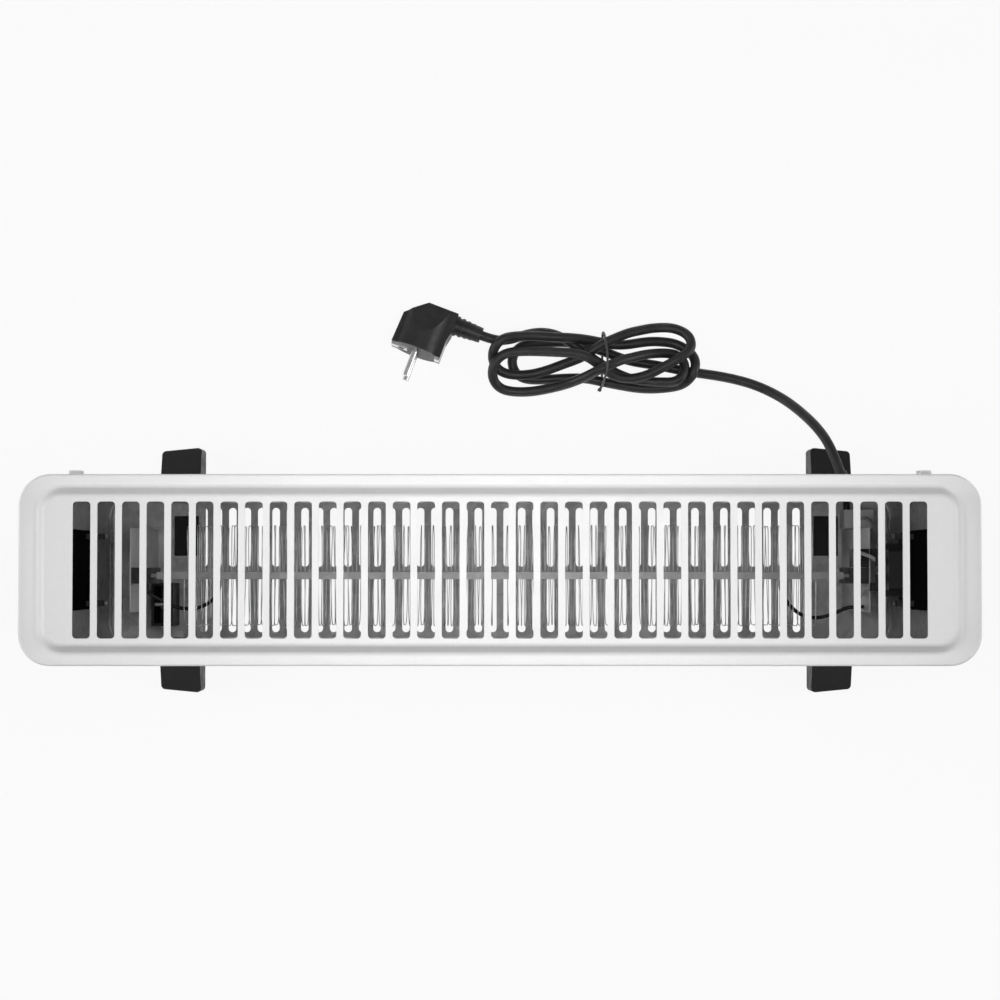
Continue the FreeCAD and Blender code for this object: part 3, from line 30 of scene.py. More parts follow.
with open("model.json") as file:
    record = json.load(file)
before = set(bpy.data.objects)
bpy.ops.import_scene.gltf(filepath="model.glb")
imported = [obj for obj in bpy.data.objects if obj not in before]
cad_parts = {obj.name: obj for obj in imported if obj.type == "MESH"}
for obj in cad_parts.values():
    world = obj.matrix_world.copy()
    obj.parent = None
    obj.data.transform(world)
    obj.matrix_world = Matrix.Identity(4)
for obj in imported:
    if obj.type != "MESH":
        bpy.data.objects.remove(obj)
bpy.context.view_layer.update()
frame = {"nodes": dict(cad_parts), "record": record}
nodes = frame["nodes"]
scene = bpy.context.scene
scene.view_settings.view_transform = "Standard"

MM = 0.001
RIGHT = Vector((1, 0, 0))
BACK = Vector((0, 1, 0))
UP = Vector((0, 0, 1))
CORNERS = ((-1, -1), (1, -1), (1, 1), (-1, 1))
WHITE = (1, 1, 1, 1)


def mm(*numbers):
    """Vector in metres from numbers in mm."""
    return Vector(numbers) * MM


# Camera, high above the grille

CAMERA_HEIGHT = 1815
CAMERA_TILT = 1.73
CAMERA_LENS = 83.4
SENSOR_WIDTH = 36


def add_camera():
    lens = bpy.data.cameras.new("camera")
    lens.lens = CAMERA_LENS
    lens.sensor_width = SENSOR_WIDTH
    camera = bpy.data.objects.new("camera", lens)
    camera.location = mm(0, 0, CAMERA_HEIGHT)
    camera.rotation_euler = (math.radians(CAMERA_TILT), 0, 0)
    scene.collection.objects.link(camera)
    scene.camera = camera


# Lamps, sky and floor

LAMPS = [
    # name, place, target, width, depth, watts, spread in degrees
    ("key", (0, 30, 945), (0, 0, 385), 400, 300, 2.5, 180),
    ("left_side", (-2400, 0, 1030), (0, 0, 385), 1600, 1200, 31.0, 180),
    ("right_side", (2400, 0, 1030), (0, 0, 385), 1600, 1200, 26.0, 180),
    ("front_fill", (0, -2200, 500), (0, 0, 250), 1800, 700, 1.2, 180),
    ("back_fill", (0, 2200, 600), (0, 0, 250), 1800, 700, 1.7, 180),
    ("front_soft", (0, -2200, 150), (0, 0, 150), 1800, 280, 0.34, 6),
    ("back_soft", (0, 2200, 170), (0, 0, 170), 1800, 240, 0.29, 6),
]
SEEN_RAYS = ("Is Camera Ray", "Is Transmission Ray")
MIRRORED_RAYS = ("Is Glossy Ray",)
SKY_LIGHT = 0.03
SKY_MIRRORED = 0.4
SKY_SEEN = 1.0
FLOOR_HALF = 8000
FLOOR_DROP = 0.3
FLOOR_WHITE = 0.88
FLOOR_ROUGH = 0.9
FLOOR_GLOW = 0.92


def add_lamps():
    for name, place, target, width, depth, watts, spread in LAMPS:
        light = bpy.data.lights.new(name, "AREA")
        light.shape = "RECTANGLE"
        light.size = width * MM
        light.size_y = depth * MM
        light.energy = watts
        light.spread = math.radians(spread)
        lamp = bpy.data.objects.new(name, light)
        lamp.location = mm(*place)
        lamp.rotation_euler = (mm(*target) - mm(*place)).to_track_quat("-Z", "Y").to_euler()
        lamp.visible_camera = False
        scene.collection.objects.link(lamp)


def either_ray(tree, *names):
    """1 for rays of the named kinds and 0 for all others."""
    path = tree.nodes.new("ShaderNodeLightPath")
    total = path.outputs[names[0]]
    for name in names[1:]:
        adder = tree.nodes.new("ShaderNodeMath")
        adder.operation = "MAXIMUM"
        tree.links.new(total, adder.inputs[0])
        tree.links.new(path.outputs[name], adder.inputs[1])
        total = adder.outputs[0]
    return total


def blend(tree, share, first, second):
    """Shader that goes from the first to the second as the share goes from 0 to 1."""
    mix = tree.nodes.new("ShaderNodeMixShader")
    tree.links.new(share, mix.inputs[0])
    tree.links.new(first.outputs[0], mix.inputs[1])
    tree.links.new(second.outputs[0], mix.inputs[2])
    return mix


def add_sky():
    """White for the eye and through panes, greyer in mirrors, dim as a light."""
    world = bpy.data.worlds.new("studio")
    scene.world = world
    world.use_nodes = True
    tree = world.node_tree
    surface = tree.nodes["Background"]
    surface.inputs["Color"].default_value = WHITE
    surface.inputs["Strength"].default_value = SKY_LIGHT
    for strength, rays in ((SKY_MIRRORED, MIRRORED_RAYS), (SKY_SEEN, SEEN_RAYS)):
        shown = tree.nodes.new("ShaderNodeBackground")
        shown.inputs["Color"].default_value = WHITE
        shown.inputs["Strength"].default_value = strength
        surface = blend(tree, either_ray(tree, *rays), surface, shown)
    tree.links.new(surface.outputs[0], tree.nodes["World Output"].inputs["Surface"])


def add_floor():
    """Wide matt floor that is mostly plain white to the eye, and keeps a faint shadow."""
    mesh = bpy.data.meshes.new("floor")
    corners = [mm(sx * FLOOR_HALF, sy * FLOOR_HALF, -FLOOR_DROP) for sx, sy in CORNERS]
    mesh.from_pydata(corners, [], [(0, 1, 2, 3)])
    floor = bpy.data.objects.new("floor", mesh)
    scene.collection.objects.link(floor)
    material = bpy.data.materials.new("floor")
    material.use_nodes = True
    tree = material.node_tree
    matt = tree.nodes["Principled BSDF"]
    matt.inputs["Base Color"].default_value = (FLOOR_WHITE, FLOOR_WHITE, FLOOR_WHITE, 1)
    matt.inputs["Roughness"].default_value = FLOOR_ROUGH
    glow = tree.nodes.new("ShaderNodeEmission")
    share = tree.nodes.new("ShaderNodeMath")
    share.operation = "MULTIPLY"
    share.inputs[1].default_value = FLOOR_GLOW
    tree.links.new(either_ray(tree, *SEEN_RAYS, *MIRRORED_RAYS), share.inputs[0])
    surface = blend(tree, share.outputs[0], matt, glow)
    tree.links.new(surface.outputs[0], tree.nodes["Material Output"].inputs["Surface"])
    mesh.materials.append(material)


# Materials

NOISE_RANGE = (0.3, 0.7)
CELL_RANGE = (0.1, 0.9)
CASING_MIDDLE = (0, 0, 200)
PLASTIC_SHINE = 0.3


class Finish:
    """A material made from noise on the object's own coordinates."""

    def __init__(self, name, **sockets):
        self.material = bpy.data.materials.new(name)
        self.material.use_nodes = True
        self.tree = self.material.node_tree
        self.surface = self.tree.nodes["Principled BSDF"]
        self.spot = self.node("ShaderNodeTexCoord")
        for socket, value in sockets.items():
            self.surface.inputs[socket.replace("_", " ")].default_value = value

    def node(self, kind, **settings):
        item = self.tree.nodes.new(kind)
        for name, value in settings.items():
            setattr(item, name, value)
        return item

    def link(self, source, target):
        self.tree.links.new(source, target)

    def stretched(self, stretch):
        if stretch is None:
            return self.spot.outputs["Object"]
        mapping = self.node("ShaderNodeMapping")
        mapping.inputs["Scale"].default_value = stretch
        self.link(self.spot.outputs["Object"], mapping.inputs["Vector"])
        return mapping.outputs["Vector"]

    def noise(self, scale, detail=3.0, stretch=None):
        item = self.node("ShaderNodeTexNoise")
        item.inputs["Scale"].default_value = scale
        item.inputs["Detail"].default_value = detail
        self.link(self.stretched(stretch), item.inputs["Vector"])
        return item.outputs["Fac"]

    def cells(self, scale, feature="F1"):
        item = self.node("ShaderNodeTexVoronoi", feature=feature)
        item.inputs["Scale"].default_value = scale
        self.link(self.spot.outputs["Object"], item.inputs["Vector"])
        return item.outputs["Color" if feature == "F1" else "Distance"]

    def ramp(self, source, colours, over=NOISE_RANGE):
        """Grade from one colour to another over a range of the source."""
        item = self.node("ShaderNodeValToRGB")
        for stop, position, colour in zip(item.color_ramp.elements, over, colours):
            stop.position = position
            stop.color = (*colour, 1)
        self.link(source, item.inputs["Fac"])
        return item.outputs["Color"]

    def span(self, source, limits):
        """Number between two limits that follows the source."""
        item = self.node("ShaderNodeMapRange")
        ends = ("From Min", "From Max", "To Min", "To Max")
        for end, value in zip(ends, (*NOISE_RANGE, *limits)):
            item.inputs[end].default_value = value
        self.link(source, item.inputs["Value"])
        return item.outputs["Result"]

    def mixed(self, share, first, second):
        item = self.node("ShaderNodeMix", data_type="RGBA")
        self.link(share, item.inputs["Factor"])
        self.link(first, item.inputs["A"])
        self.link(second, item.inputs["B"])
        return next(o for o in item.outputs if o.type == "RGBA")

    def colour(self, source):
        self.link(source, self.surface.inputs["Base Color"])

    def roughness(self, source):
        self.link(source, self.surface.inputs["Roughness"])

    def metallic(self, source):
        self.link(source, self.surface.inputs["Metallic"])

    def shine(self, source):
        self.link(source, self.surface.inputs["Specular IOR Level"])

    def bump(self, *layers):
        """Stack of (height, strength, depth in mm) layers on the surface's normal."""
        before = None
        for height, strength, depth in layers:
            item = self.node("ShaderNodeBump")
            item.inputs["Strength"].default_value = strength
            item.inputs["Distance"].default_value = depth * MM
            self.link(height, item.inputs["Height"])
            if before is not None:
                self.link(before, item.inputs["Normal"])
            before = item.outputs["Normal"]
        self.link(before, self.surface.inputs["Normal"])

    def facing_in(self):
        """1 where the surface looks towards the middle of the casing, 0 where it looks away."""
        away = self.node("ShaderNodeVectorMath", operation="SUBTRACT")
        self.link(self.spot.outputs["Object"], away.inputs[0])
        away.inputs[1].default_value = mm(*CASING_MIDDLE)
        turn = self.node("ShaderNodeVectorMath", operation="DOT_PRODUCT")
        self.link(away.outputs["Vector"], turn.inputs[0])
        self.link(self.spot.outputs["Normal"], turn.inputs[1])
        test = self.node("ShaderNodeMath", operation="LESS_THAN")
        test.inputs[1].default_value = 0.0
        self.link(turn.outputs["Value"], test.inputs[0])
        return test.outputs[0]


def greys(*levels):
    return [(level, level, level) for level in levels]


def powder_coat(name, inside=False):
    """White powder coat with orange peel. With inside, the side that faces in is bare zinc."""
    coat = Finish(name)
    speck = coat.noise(900.0, 1.0)
    cool = coat.ramp(speck, greys(0.86, 0.89))
    warm = coat.ramp(speck, [(0.88, 0.88, 0.875), (0.905, 0.905, 0.9)])
    paint = coat.mixed(coat.noise(5.0, 4.0), cool, warm)
    if inside:
        within = coat.facing_in()
        spangle = coat.ramp(coat.cells(160.0), greys(0.48, 0.63), CELL_RANGE)
        paint = coat.mixed(within, paint, spangle)
        coat.metallic(coat.span(within, (0.0, 0.2)))
    coat.colour(paint)
    coat.roughness(coat.span(coat.noise(60.0, 3.0), (0.36, 0.5)))
    peel = (coat.noise(420.0, 2.0), 0.08, 0.3)
    dents = (coat.noise(9.0, 1.0), 0.05, 2.0)
    coat.bump(peel, dents)
    return coat.material


def grained_plastic(name, colours, rough, grain, inner=None):
    """Moulded plastic with a spark-eroded grain. With inner colours, the side that faces in gets painted
    shade: darker and without sheen.
    """
    skin = Finish(name, Specular_IOR_Level=PLASTIC_SHINE)
    blotch = skin.noise(18.0, 4.0)
    tone = skin.ramp(blotch, colours)
    # Painted shade: the inner colours darken the side that faces in, and its shine drops to nothing
    # there.
    if inner:
        within = skin.facing_in()
        tone = skin.mixed(within, tone, skin.ramp(blotch, inner))
        skin.shine(skin.span(within, (PLASTIC_SHINE, 0.0)))
    skin.colour(tone)
    skin.roughness(skin.span(skin.noise(140.0, 4.0), rough))
    sparks = (skin.noise(2600.0, 2.0), grain, 0.1)
    waves = (skin.noise(30.0, 2.0), 0.04, 0.6)
    skin.bump(sparks, waves)
    return skin.material


def rubber(name, colours, rough):
    """Cord sheath or pad: satin rubber with faint handling marks."""
    skin = Finish(name, Specular_IOR_Level=PLASTIC_SHINE)
    skin.colour(skin.ramp(skin.noise(90.0, 5.0), colours))
    skin.roughness(skin.span(skin.noise(220.0, 4.0), rough))
    marks = (skin.noise(1500.0, 3.0), 0.12, 0.08)
    waves = (skin.noise(120.0, 2.0), 0.08, 0.2)
    skin.bump(marks, waves)
    return skin.material


def zinc(name, colours):
    """Zinc plated sheet with a soft spangle and rolling lines."""
    skin = Finish(name, Metallic=0.45)
    spangle = skin.ramp(skin.cells(140.0), colours, CELL_RANGE)
    stain = skin.ramp(skin.noise(14.0, 5.0), colours)
    skin.colour(skin.mixed(skin.noise(40.0, 2.0), spangle, stain))
    lines = skin.noise(35.0, 3.0, (4.0, 90.0, 90.0))
    skin.roughness(skin.span(lines, (0.34, 0.52)))
    skin.bump((lines, 0.05, 0.2))
    return skin.material


def bright_metal(name, colours, rough):
    """Drawn or plated metal with fine lines."""
    skin = Finish(name, Metallic=1.0)
    lines = skin.noise(220.0, 3.0, (1.0, 1.0, 9.0))
    skin.colour(skin.ramp(skin.noise(60.0, 4.0), colours))
    skin.roughness(skin.span(lines, rough))
    skin.bump((lines, 0.04, 0.1))
    return skin.material


def mica_sheet(name):
    """Pressed mica: small flakes of uneven tone under a slight gloss."""
    skin = Finish(name, Coat_Weight=0.15, Coat_Roughness=0.3)
    flakes = skin.ramp(skin.cells(420.0), [(0.12, 0.115, 0.11), (0.32, 0.31, 0.29)], CELL_RANGE)
    stain = skin.ramp(skin.noise(22.0, 5.0), [(0.15, 0.145, 0.14), (0.3, 0.29, 0.28)])
    skin.colour(skin.mixed(skin.noise(55.0, 2.0), flakes, stain))
    skin.roughness(skin.span(skin.noise(160.0), (0.42, 0.65)))
    skin.bump((skin.noise(500.0, 4.0), 0.15, 0.2))
    return skin.material


def ceramic(name, colours):
    """Unglazed ceramic with a fine speckle."""
    skin = Finish(name)
    skin.colour(skin.ramp(skin.noise(260.0, 6.0), colours))
    skin.roughness(skin.span(skin.noise(90.0), (0.55, 0.8)))
    skin.bump((skin.noise(800.0, 5.0), 0.2, 0.2))
    return skin.material


def lens_red(name):
    """Translucent red lens with moulded facets."""
    skin = Finish(name, Transmission_Weight=0.35, IOR=1.49)
    skin.colour(skin.ramp(skin.noise(160.0), [(0.42, 0.02, 0.015), (0.62, 0.05, 0.03)]))
    skin.roughness(skin.span(skin.noise(300.0), (0.08, 0.2)))
    skin.bump((skin.cells(900.0, "DISTANCE_TO_EDGE"), 0.3, 0.2))
    return skin.material


BLACK_PLASTIC = dict(colours=greys(0.011, 0.02), rough=(0.45, 0.65), grain=0.25)
FINISH_KINDS = {
    "white_steel": (powder_coat, dict()),
    "panel_steel": (powder_coat, dict(inside=True)),
    "white_plastic": (grained_plastic, dict(colours=greys(0.72, 0.8), rough=(0.42, 0.6), grain=0.12)),
    "black_plastic": (grained_plastic, BLACK_PLASTIC),
    # Hand cups: black plastic with painted shade on the side that faces into the cup.
    "cup_black": (grained_plastic, dict(BLACK_PLASTIC, inner=greys(0.004, 0.009))),
    "gloss_black": (grained_plastic, dict(colours=greys(0.01, 0.016), rough=(0.14, 0.28), grain=0.03)),
    "red_lens": (lens_red, dict()),
    "rubber": (rubber, dict(colours=greys(0.016, 0.028), rough=(0.34, 0.5))),
    "bare_steel": (zinc, dict(colours=greys(0.5, 0.66))),
    "dull_steel": (zinc, dict(colours=greys(0.22, 0.36))),
    "mica": (mica_sheet, dict()),
    "ceramic": (ceramic, dict(colours=[(0.5, 0.49, 0.46), (0.66, 0.65, 0.61)])),
    "dark_ceramic": (ceramic, dict(colours=greys(0.02, 0.045))),
    "heater_wire": (bright_metal, dict(colours=greys(0.78, 0.92), rough=(0.4, 0.6))),
    "dark_lead": (rubber, dict(colours=greys(0.008, 0.016), rough=(0.3, 0.5))),
    "tie_grey": (rubber, dict(colours=greys(0.06, 0.1), rough=(0.4, 0.6))),
    "grey_lead": (rubber, dict(colours=greys(0.55, 0.68), rough=(0.4, 0.6))),
    "pin_metal": (bright_metal, dict(colours=greys(0.55, 0.75), rough=(0.16, 0.32))),
    "print_white": (grained_plastic, dict(colours=greys(0.68, 0.78), rough=(0.5, 0.7), grain=0.1)),
    # Painted shade: dark crosses that stand in for the shade in the screws' cross recesses.
    "recess": (grained_plastic, dict(colours=greys(0.02, 0.05), rough=(0.5, 0.7), grain=0.1)),
}
FINISHES = {name: maker(name, **settings) for name, (maker, settings) in FINISH_KINDS.items()}
OTHER_FINISHES = {
    "panel_steel": ("front_panel", "rear_panel", "left_end_panel", "right_end_panel", "bottom_plate"),
    "dark_ceramic": ("left_element_holder", "right_element_holder"),
    "cup_black": ("left_hand_cup", "right_hand_cup"),
    "dull_steel": ("element_top_rail",),
}


def dress_nodes():
    """Give every CAD node the finish of its slot, or the one that OTHER_FINISHES has for it."""
    other = {node: finish for finish, group in OTHER_FINISHES.items() for node in group}
    for part in frame["record"]["subparts"]:
        finish = other.get(part["node"], part["material_slot"])
        mesh = nodes[part["node"]].data
        mesh.materials.clear()
        mesh.materials.append(FINISHES[finish])


# Pieces

BAR_CHAMFER = 0.08


def settle(piece, slot, finish=None, body="heater"):
    """Finish a piece with a slot's material and let it ride on a body."""
    piece.data.materials.append(FINISHES[finish or slot])
    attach(piece, body)
    return piece


def add_spline(curve, points, cyclic=False, steps=8):
    """Smooth line that follows points in mm, with some steps from each to the next."""
    spline = curve.splines.new("NURBS")
    spline.points.add(len(points) - 1)
    for knot, place in zip(spline.points, points):
        knot.co = (*(Vector(place) * MM), 1.0)
    spline.order_u = 3
    spline.use_endpoint_u = not cyclic
    spline.use_cyclic_u = cyclic
    spline.resolution_u = steps


def tube(name, route, diameter, cyclic=False, steps=8, roundness=5):
    """Round tube along a route of points in mm."""
    curve = bpy.data.curves.new(name, "CURVE")
    curve.dimensions = "3D"
    curve.bevel_depth = diameter / 2 * MM
    curve.bevel_resolution = roundness
    curve.use_fill_caps = True
    add_spline(curve, route, cyclic, steps)
    piece = bpy.data.objects.new(name, curve)
    scene.collection.objects.link(piece)
    return piece


def join_rings(form, rings):
    """Faces from each ring of points to the next."""
    for inner, outer in zip(rings, rings[1:]):
        for i in range(len(inner)):
            after = (i + 1) % len(inner)
            form.faces.new((inner[i], inner[after], outer[after], outer[i]))


def add_bar(form, centre, across, up, normal, size, gauge):
    """Flat bar with chamfered edges that stands on a surface. Its size is (width, length)."""
    rings = []
    for height, inset in ((0.0, 0.0), (gauge, size[0] * BAR_CHAMFER)):
        half_width, half_length = (side / 2 - inset for side in size)
        middle = centre + normal * height
        ring = [middle + across * (sx * half_width) + up * (sy * half_length) for sx, sy in CORNERS]
        rings.append([form.verts.new(point * MM) for point in ring])
    form.faces.new(rings[-1])
    join_rings(form, rings)


def add_ring(form, centre, across, up, normal, profile, sides):
    """Round moulding that stands on a surface. Its profile has (radius, height) points."""
    rings = []
    for radius, height in profile:
        ring = []
        for i in range(sides):
            angle = i * math.tau / sides
            way = across * math.cos(angle) + up * math.sin(angle)
            ring.append(form.verts.new((centre + normal * height + way * radius) * MM))
        rings.append(ring)
    join_rings(form, rings)


def mesh_piece(name, form):
    bmesh.ops.recalc_face_normals(form, faces=form.faces)
    mesh = bpy.data.meshes.new(name)
    form.to_mesh(mesh)
    form.free()
    piece = bpy.data.objects.new(name, mesh)
    scene.collection.objects.link(piece)
    return piece


# Mains cord, from the strain relief through the hank to the plug

CORD_DIAMETER = 7.6
CORD_ROUTE = [
    (258.3, 73.8, 57.9), (252.6, 91.6, 55), (244.6, 107.3, 44), (232.8, 122.4, 26),
    (218.8, 135.2, 10.4), (199, 145.4, 4), (177, 151, 3.8), (155, 154.2, 3.8),
]
# Strands of the hank, picked on the photograph. Their heights are guessed.
HANK_TURNS = [
    # Through the waist to the inner left loop, then round the outer right loop
    [(144.6, 155.8, 3.8), (134.6, 157.8, 3.8), (124.1, 160, 3.8), (113.5, 161.6, 3.9),
     (102.9, 163.4, 4), (93.4, 166.3, 4.4), (84, 170, 5.4), (75.2, 173, 5), (66.9, 175.4, 4.2),
     (57.5, 177.8, 3.9), (46.9, 178.5, 3.8), (36.3, 178.3, 3.8), (29.3, 177.9, 3.8),
     (23.4, 177.1, 3.8), (17.2, 175.6, 3.8), (12.6, 171.9, 3.8), (9.7, 166.5, 3.8), (9.5, 160.5, 3.8),
     (11.8, 154.8, 3.8), (16.4, 150.8, 3.8), (22.5, 149.1, 3.8), (29.9, 148.9, 3.8),
     (38.1, 149.2, 3.8), (47.5, 149.9, 3.8), (58.1, 150.3, 3.9), (68.1, 149.8, 4.6), (76.3, 148, 5.4),
     (85.8, 146, 5), (95.2, 144.3, 4.2), (104.6, 142.7, 3.8), (114.6, 141.8, 3.8), (124.6, 142, 4),
     (134, 142.9, 4.8), (141.5, 144.5, 5.8), (146.6, 147.6, 8.6), (150.5, 152.2, 11.6),
     (152.4, 157.7, 11.8), (152.5, 163.3, 10.4), (150.2, 168.1, 9), (146.4, 171.9, 8),
     (141.1, 175.1, 7.2), (135, 177.4, 7), (127.9, 178.3, 7.6), (118.4, 178.6, 8.8),
     (108.4, 177.3, 10.4), (98.4, 175.6, 11.2), (88.4, 175.6, 11.4), (78.4, 177.6, 11.8)],
    # Upper left loop, then up across the waist and round the upper right loop
    [(68.3, 179.4, 14), (58.8, 180.2, 17.5), (48.8, 180.6, 19.6), (38.9, 181, 20), (29, 181.6, 20.4),
     (19.1, 181.8, 21.2), (10.3, 181.1, 22.8), (3.4, 179.7, 24.4), (-2.2, 175.8, 24.2),
     (-5.4, 170.3, 20.6), (-5.9, 164.4, 15.4), (-3.4, 158.4, 12.4), (1.6, 154.2, 11.5),
     (8.1, 152.3, 11.5), (15.7, 151.8, 11.5), (23.9, 152.5, 11.5), (31.5, 154.1, 11.7),
     (39.1, 156.4, 12.6), (47.2, 159.4, 14.2), (55.9, 162.3, 16.4), (64.6, 165.6, 18.3),
     (73.4, 171.9, 19.2), (82.2, 176.9, 19.6), (90.9, 180.6, 19.2), (99.8, 184.3, 17.6),
     (108.7, 186.5, 15), (118.2, 188.5, 12.8), (127.6, 189.2, 11.8), (135.8, 188.5, 11.8),
     (142.6, 185.8, 12.6), (146.9, 182.3, 14), (148.9, 177.8, 15.4), (148.6, 172.8, 17),
     (145.4, 168.5, 18.8), (139.6, 165, 19.6), (134.1, 161.4, 19.4), (126.6, 157.4, 18.4),
     (119, 153.4, 17.8), (110.9, 150.3, 17.5), (102.7, 148.6, 17.4), (94.8, 149, 17.6)],
    # Lower left loop, then over the waist, round the inner right loop and under to the plug
    [(87.8, 151.3, 18), (81.6, 155.6, 19.8), (75, 160.2, 23.4), (68.7, 164.3, 26.2), (62, 167, 26.6),
     (53.9, 168.1, 26), (44.6, 168.6, 25), (35.3, 169.1, 24.2), (26, 169.5, 23.6), (17.3, 169.5, 23.2),
     (10.3, 169.1, 23), (3.5, 167.5, 22.8), (-2.1, 163.5, 22.4), (-5.5, 157.5, 21), (-6, 150.6, 18),
     (-3.5, 144.8, 14.4), (1.5, 140.9, 12.2), (8.1, 139.2, 11.6), (16.3, 138.7, 11.6),
     (23.9, 139, 11.6), (31.5, 140.1, 11.7), (39.7, 141.7, 12), (47.8, 143.6, 13), (55.4, 145.7, 16),
     (62.8, 148.3, 21), (70.1, 151.4, 26.4), (77.6, 155.2, 29.6), (85.8, 158.7, 29), (94.1, 162.6, 26),
     (102.4, 164.7, 22), (111.4, 167.3, 17.5), (121, 168.8, 13.8), (129.9, 169.1, 11.8),
     (136.8, 168.2, 10.8), (141.2, 165.1, 10.6), (144, 160.7, 10.8), (144.1, 155.8, 11.8),
     (142.1, 150.9, 13.6), (138.2, 147.5, 13.8), (133.1, 146.2, 12.8), (127, 146.4, 11.8),
     (119.5, 146.6, 10.6), (110.7, 147.4, 9.8), (102, 149.2, 9.4), (93.7, 152.2, 9.8),
     (86.1, 156, 11.2), (79, 160.4, 11.6), (72.6, 164.8, 11.2), (66.7, 168.7, 10.5), (60.8, 173.2, 11),
     (54.9, 177.6, 11.6), (47.9, 181.7, 11.8), (40.3, 184.4, 11.8), (32.1, 185.4, 11.8),
     (23.9, 184.5, 11.9), (15.7, 182.1, 12.4), (7.5, 179.4, 14.2)],
]
CORD_END = [(-3.3, 178.1, 17.4), (-14.57, 182.32, 17.54)]
TIE_RING = [
    (80.0, 150, 1.0), (80.2, 166, 1.0), (80.4, 180, 1.0), (80.3, 185.2, 5), (80.3, 185.4, 13),
    (81, 183.5, 20.5), (81.8, 178, 24.8), (82.9, 168, 29.5), (83.0, 160, 34.4), (82.2, 152.5, 33.5),
    (80.8, 147.5, 24), (79.2, 142.6, 12), (78.6, 141.6, 4), (79.2, 143.5, 1.0),
]
TIE_WIRE = 1.8
TWIST_START = (78.6, 142.0, 6.0)
TWIST_WAY = (-0.5, -0.85, 0.1)
TWIST_POINTS = 5
TWIST_STEP = 0.55
TWIST_TURN = 0.9  # radians from one point to the next
TWIST_REACH = 0.81


def add_cord():
    points = CORD_ROUTE + [point for turn in HANK_TURNS for point in turn] + CORD_END
    cord = settle(tube("mains_lead", points, CORD_DIAMETER), "rubber")
    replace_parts(cord, "mains_cord", "cord_hank")
    tie = settle(add_tie(), "dark_lead", "tie_grey")
    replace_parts(tie, "cord_tie")


def add_tie():
    """Wire tie round the waist of the hank, with its two ends twisted together."""
    tie = tube("hank_tie", TIE_RING, TIE_WIRE, cyclic=True)
    way = Vector(TWIST_WAY).normalized()
    side = way.orthogonal().normalized()
    for phase in (0.0, math.pi):
        route = []
        for step in range(TWIST_POINTS):
            turned = Matrix.Rotation(phase + step * TWIST_TURN, 3, way) @ side
            route.append(Vector(TWIST_START) + way * (step * TWIST_STEP) + turned * TWIST_REACH)
        add_spline(tie.data, route)
    return tie


# Heating element

WINDING_START = 4.0
WINDING_END = 225.2
WINDING_TURNS = 72
WINDING_PITCH = (WINDING_END - WINDING_START) / WINDING_TURNS
WINDING_Y = -4.0
WINDING_Z = 150.0
LOOP_UP = 12
LOOP_MIDWAY = 23
LOOP_OUT = 35
HALF_LOOP = [(0, LOOP_UP), (LOOP_MIDWAY, LOOP_UP), (LOOP_OUT, LOOP_UP),
             (LOOP_OUT, 0), (LOOP_OUT, -LOOP_UP), (LOOP_MIDWAY, -LOOP_UP)]
LOOP = HALF_LOOP + [(-out, -up) for out, up in HALF_LOOP]
# Loops differ by these lengths, with waves that run in radians from turn to turn and corner to corner
SLACK = 0.9
SLACK_WAVE = 2.4
LEAN = 0.7
LEAN_WAVE = 1.7
LEAN_CORNER_WAVE = 0.5
WIRE_DIAMETER = 0.6
EYELET = [(0.5, 0.0), (0.5, 0.4), (0.75, 0.55), (1.05, 0.35), (1.15, 0.0)]
EYELET_SIDES = 12
BOARD_HALF = 1.3


def add_winding(name, side, node):
    """Resistance wire wound through the board in long flat loops."""
    route = []
    for step in range(WINDING_TURNS * len(LOOP) + 1):
        turn, corner = divmod(step, len(LOOP))
        out, up = LOOP[corner]
        along = WINDING_START + step * WINDING_PITCH / len(LOOP)
        if out:
            along += LEAN * math.sin(turn * LEAN_WAVE + corner * LEAN_CORNER_WAVE)
            out += math.copysign(SLACK * math.sin(turn * SLACK_WAVE + side), out)
        route.append((side * along, WINDING_Y + out, WINDING_Z + up))
    wire = tube(name, route, WIRE_DIAMETER, steps=4, roundness=2)
    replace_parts(settle(wire, "heater_wire"), node)


def add_eyelets():
    """Rolled eyelets on both faces of the board, one for each pass of the wire."""
    form = bmesh.new()
    for side in (-1, 1):
        for step in range(WINDING_TURNS * 2):
            x = side * (WINDING_START + step * WINDING_PITCH / 2)
            z = WINDING_Z + (LOOP_UP if step % 2 == 0 else -LOOP_UP)
            for face in (-1, 1):
                centre = Vector((x, WINDING_Y + face * BOARD_HALF, z))
                add_ring(form, centre, RIGHT, UP, BACK * face, EYELET, EYELET_SIDES)
    settle(mesh_piece("wire_eyelets", form), "heater_wire")


# Control panel marks, and painted shade in the screw recesses

DIAL_MIDDLE = Vector((284.9, 0, 238.0))
SCALE_RADIUS = 20.4
SCALE_STEPS = 6
SCALE_SWEEP = 270.0
TICKS_PER_STEP = 4
LONG_TICK = (0.45, 1.8)
SHORT_TICK = (0.3, 1.0)
PRINT_GAUGE = 0.08
NUMBER_SIZE = 3.0
NUMBER_GAUGE = 0.05
NUMBER_GAP = 1.7
NUMBER_LIFT = 0.03
FACING_RIGHT = Matrix(((0, 0, 1), (1, 0, 0), (0, 1, 0)))
PROBE_X = 330
ROCKERS = [("front_rocker", "front_switch", -12.0), ("rear_rocker", "rear_switch", 12.0)]
LINE_Z = 197.0
LINE_MARK = (0.7, 4.0)
RING_Z = 187.6
RING_MARK = [(1.4, 0.0), (1.5, PRINT_GAUGE), (2.0, PRINT_GAUGE), (2.1, 0.0)]
RING_SIDES = 24
SCREW_Y = 25.0
SCREW_Z = 93.0
RECESS = (0.9, 4.0)
RECESS_GAUGE = 0.06


def scale_way(share):
    """Way from the middle of the dial to a share of its scale, clockwise from the top."""
    angle = math.radians(SCALE_SWEEP * share)
    return Vector((0, math.sin(angle), math.cos(angle)))


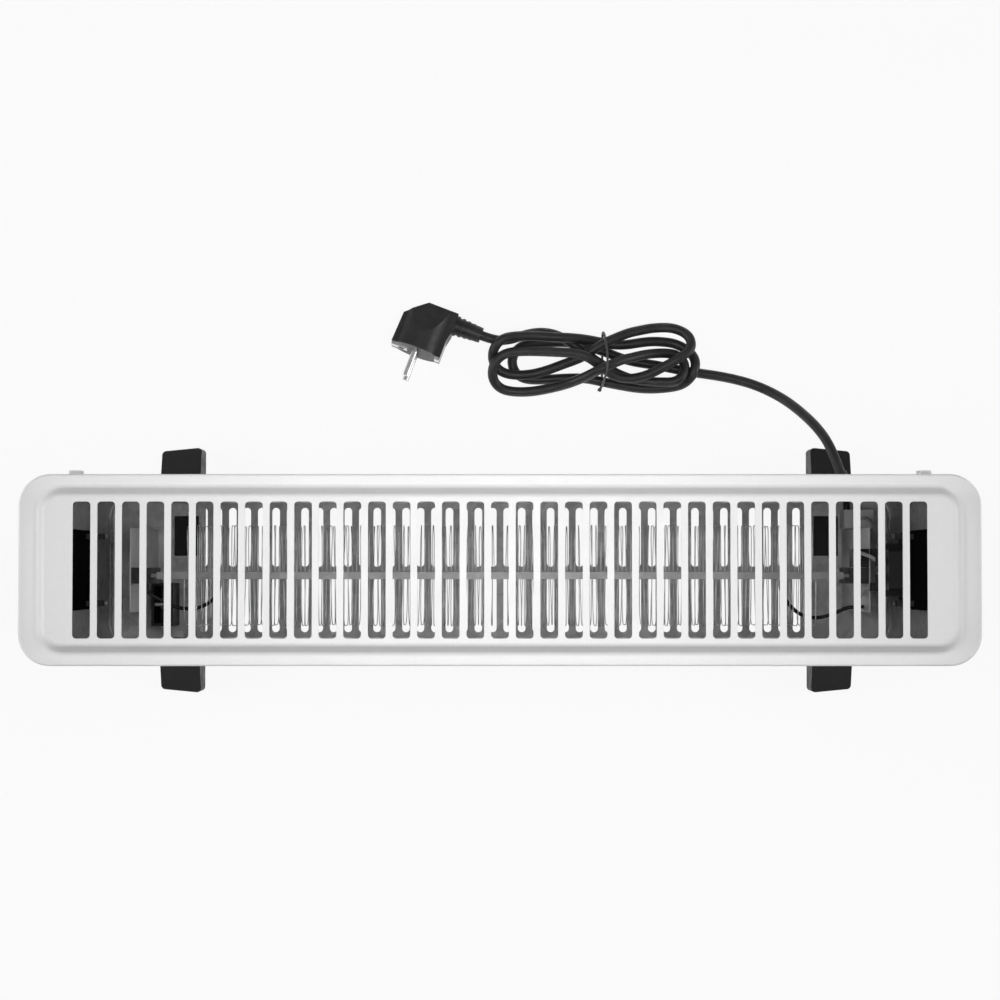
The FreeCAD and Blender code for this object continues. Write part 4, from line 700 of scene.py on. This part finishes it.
def add_dial_ticks():
    form = bmesh.new()
    ticks = SCALE_STEPS * TICKS_PER_STEP
    for tick in range(ticks + 1):
        way = scale_way(tick / ticks)
        size = SHORT_TICK if tick % TICKS_PER_STEP else LONG_TICK
        centre = DIAL_MIDDLE + way * (SCALE_RADIUS - size[1] / 2)
        add_bar(form, centre, way.cross(RIGHT), way, RIGHT, size, PRINT_GAUGE)
    settle(mesh_piece("dial_ticks", form), "white_plastic", "print_white")


def add_dial_numbers():
    for number in range(SCALE_STEPS + 1):
        text = bpy.data.curves.new("dial_number", "FONT")
        text.body = str(number)
        text.size = NUMBER_SIZE * MM
        text.align_x = "CENTER"
        text.align_y = "CENTER"
        text.extrude = NUMBER_GAUGE * MM
        piece = bpy.data.objects.new(f"dial_number_{number}", text)
        way = scale_way(number / SCALE_STEPS)
        place = DIAL_MIDDLE + RIGHT * NUMBER_LIFT + way * (SCALE_RADIUS + NUMBER_GAP)
        piece.matrix_world = Matrix.Translation(place * MM) @ FACING_RIGHT.to_4x4()
        scene.collection.objects.link(piece)
        settle(piece, "white_plastic", "print_white")


def surface_at(node, side, y, z):
    """Point in mm and normal where a line along X, from outside one end, meets a CAD node."""
    found, spot, normal, _ = nodes[node].ray_cast(mm(side * PROBE_X, y, z), RIGHT * -side)
    if not found:
        raise RuntimeError(f"nothing of {node} at {y}, {z}")
    return spot / MM, normal


def add_rocker_marks():
    """A line on the upper half of each rocker and a ring on the lower half."""
    for node, body, y in ROCKERS:
        form = bmesh.new()
        spot, normal = surface_at(node, 1, y, LINE_Z)
        add_bar(form, spot, BACK, normal.cross(BACK), normal, LINE_MARK, PRINT_GAUGE)
        spot, normal = surface_at(node, 1, y, RING_Z)
        add_ring(form, spot, BACK, normal.cross(BACK), normal, RING_MARK, RING_SIDES)
        settle(mesh_piece(f"{body}_marks", form), "white_plastic", "print_white", body)


def add_screw_recesses():
    """Dark crosses on the heads of the end screws: painted shade that stands in for their cross
    recesses.
    """
    form = bmesh.new()
    for side in (-1, 1):
        for y in (-SCREW_Y, SCREW_Y):
            spot, normal = surface_at("end_screws", side, y, SCREW_Z)
            for across, up in ((BACK, UP), (UP, BACK)):
                add_bar(form, spot, across, up, normal, RECESS, RECESS_GAUGE)
    settle(mesh_piece("screw_recess_shade", form), "bare_steel", "recess")


add_camera()
add_sky()
add_floor()
add_lamps()
dress_nodes()
add_cord()
for word, side in (("left", -1), ("right", 1)):
    add_winding(f"{word}_winding", side, f"{word}_heating_wire")
add_eyelets()
add_dial_ticks()
add_dial_numbers()
add_rocker_marks()
add_screw_recesses()
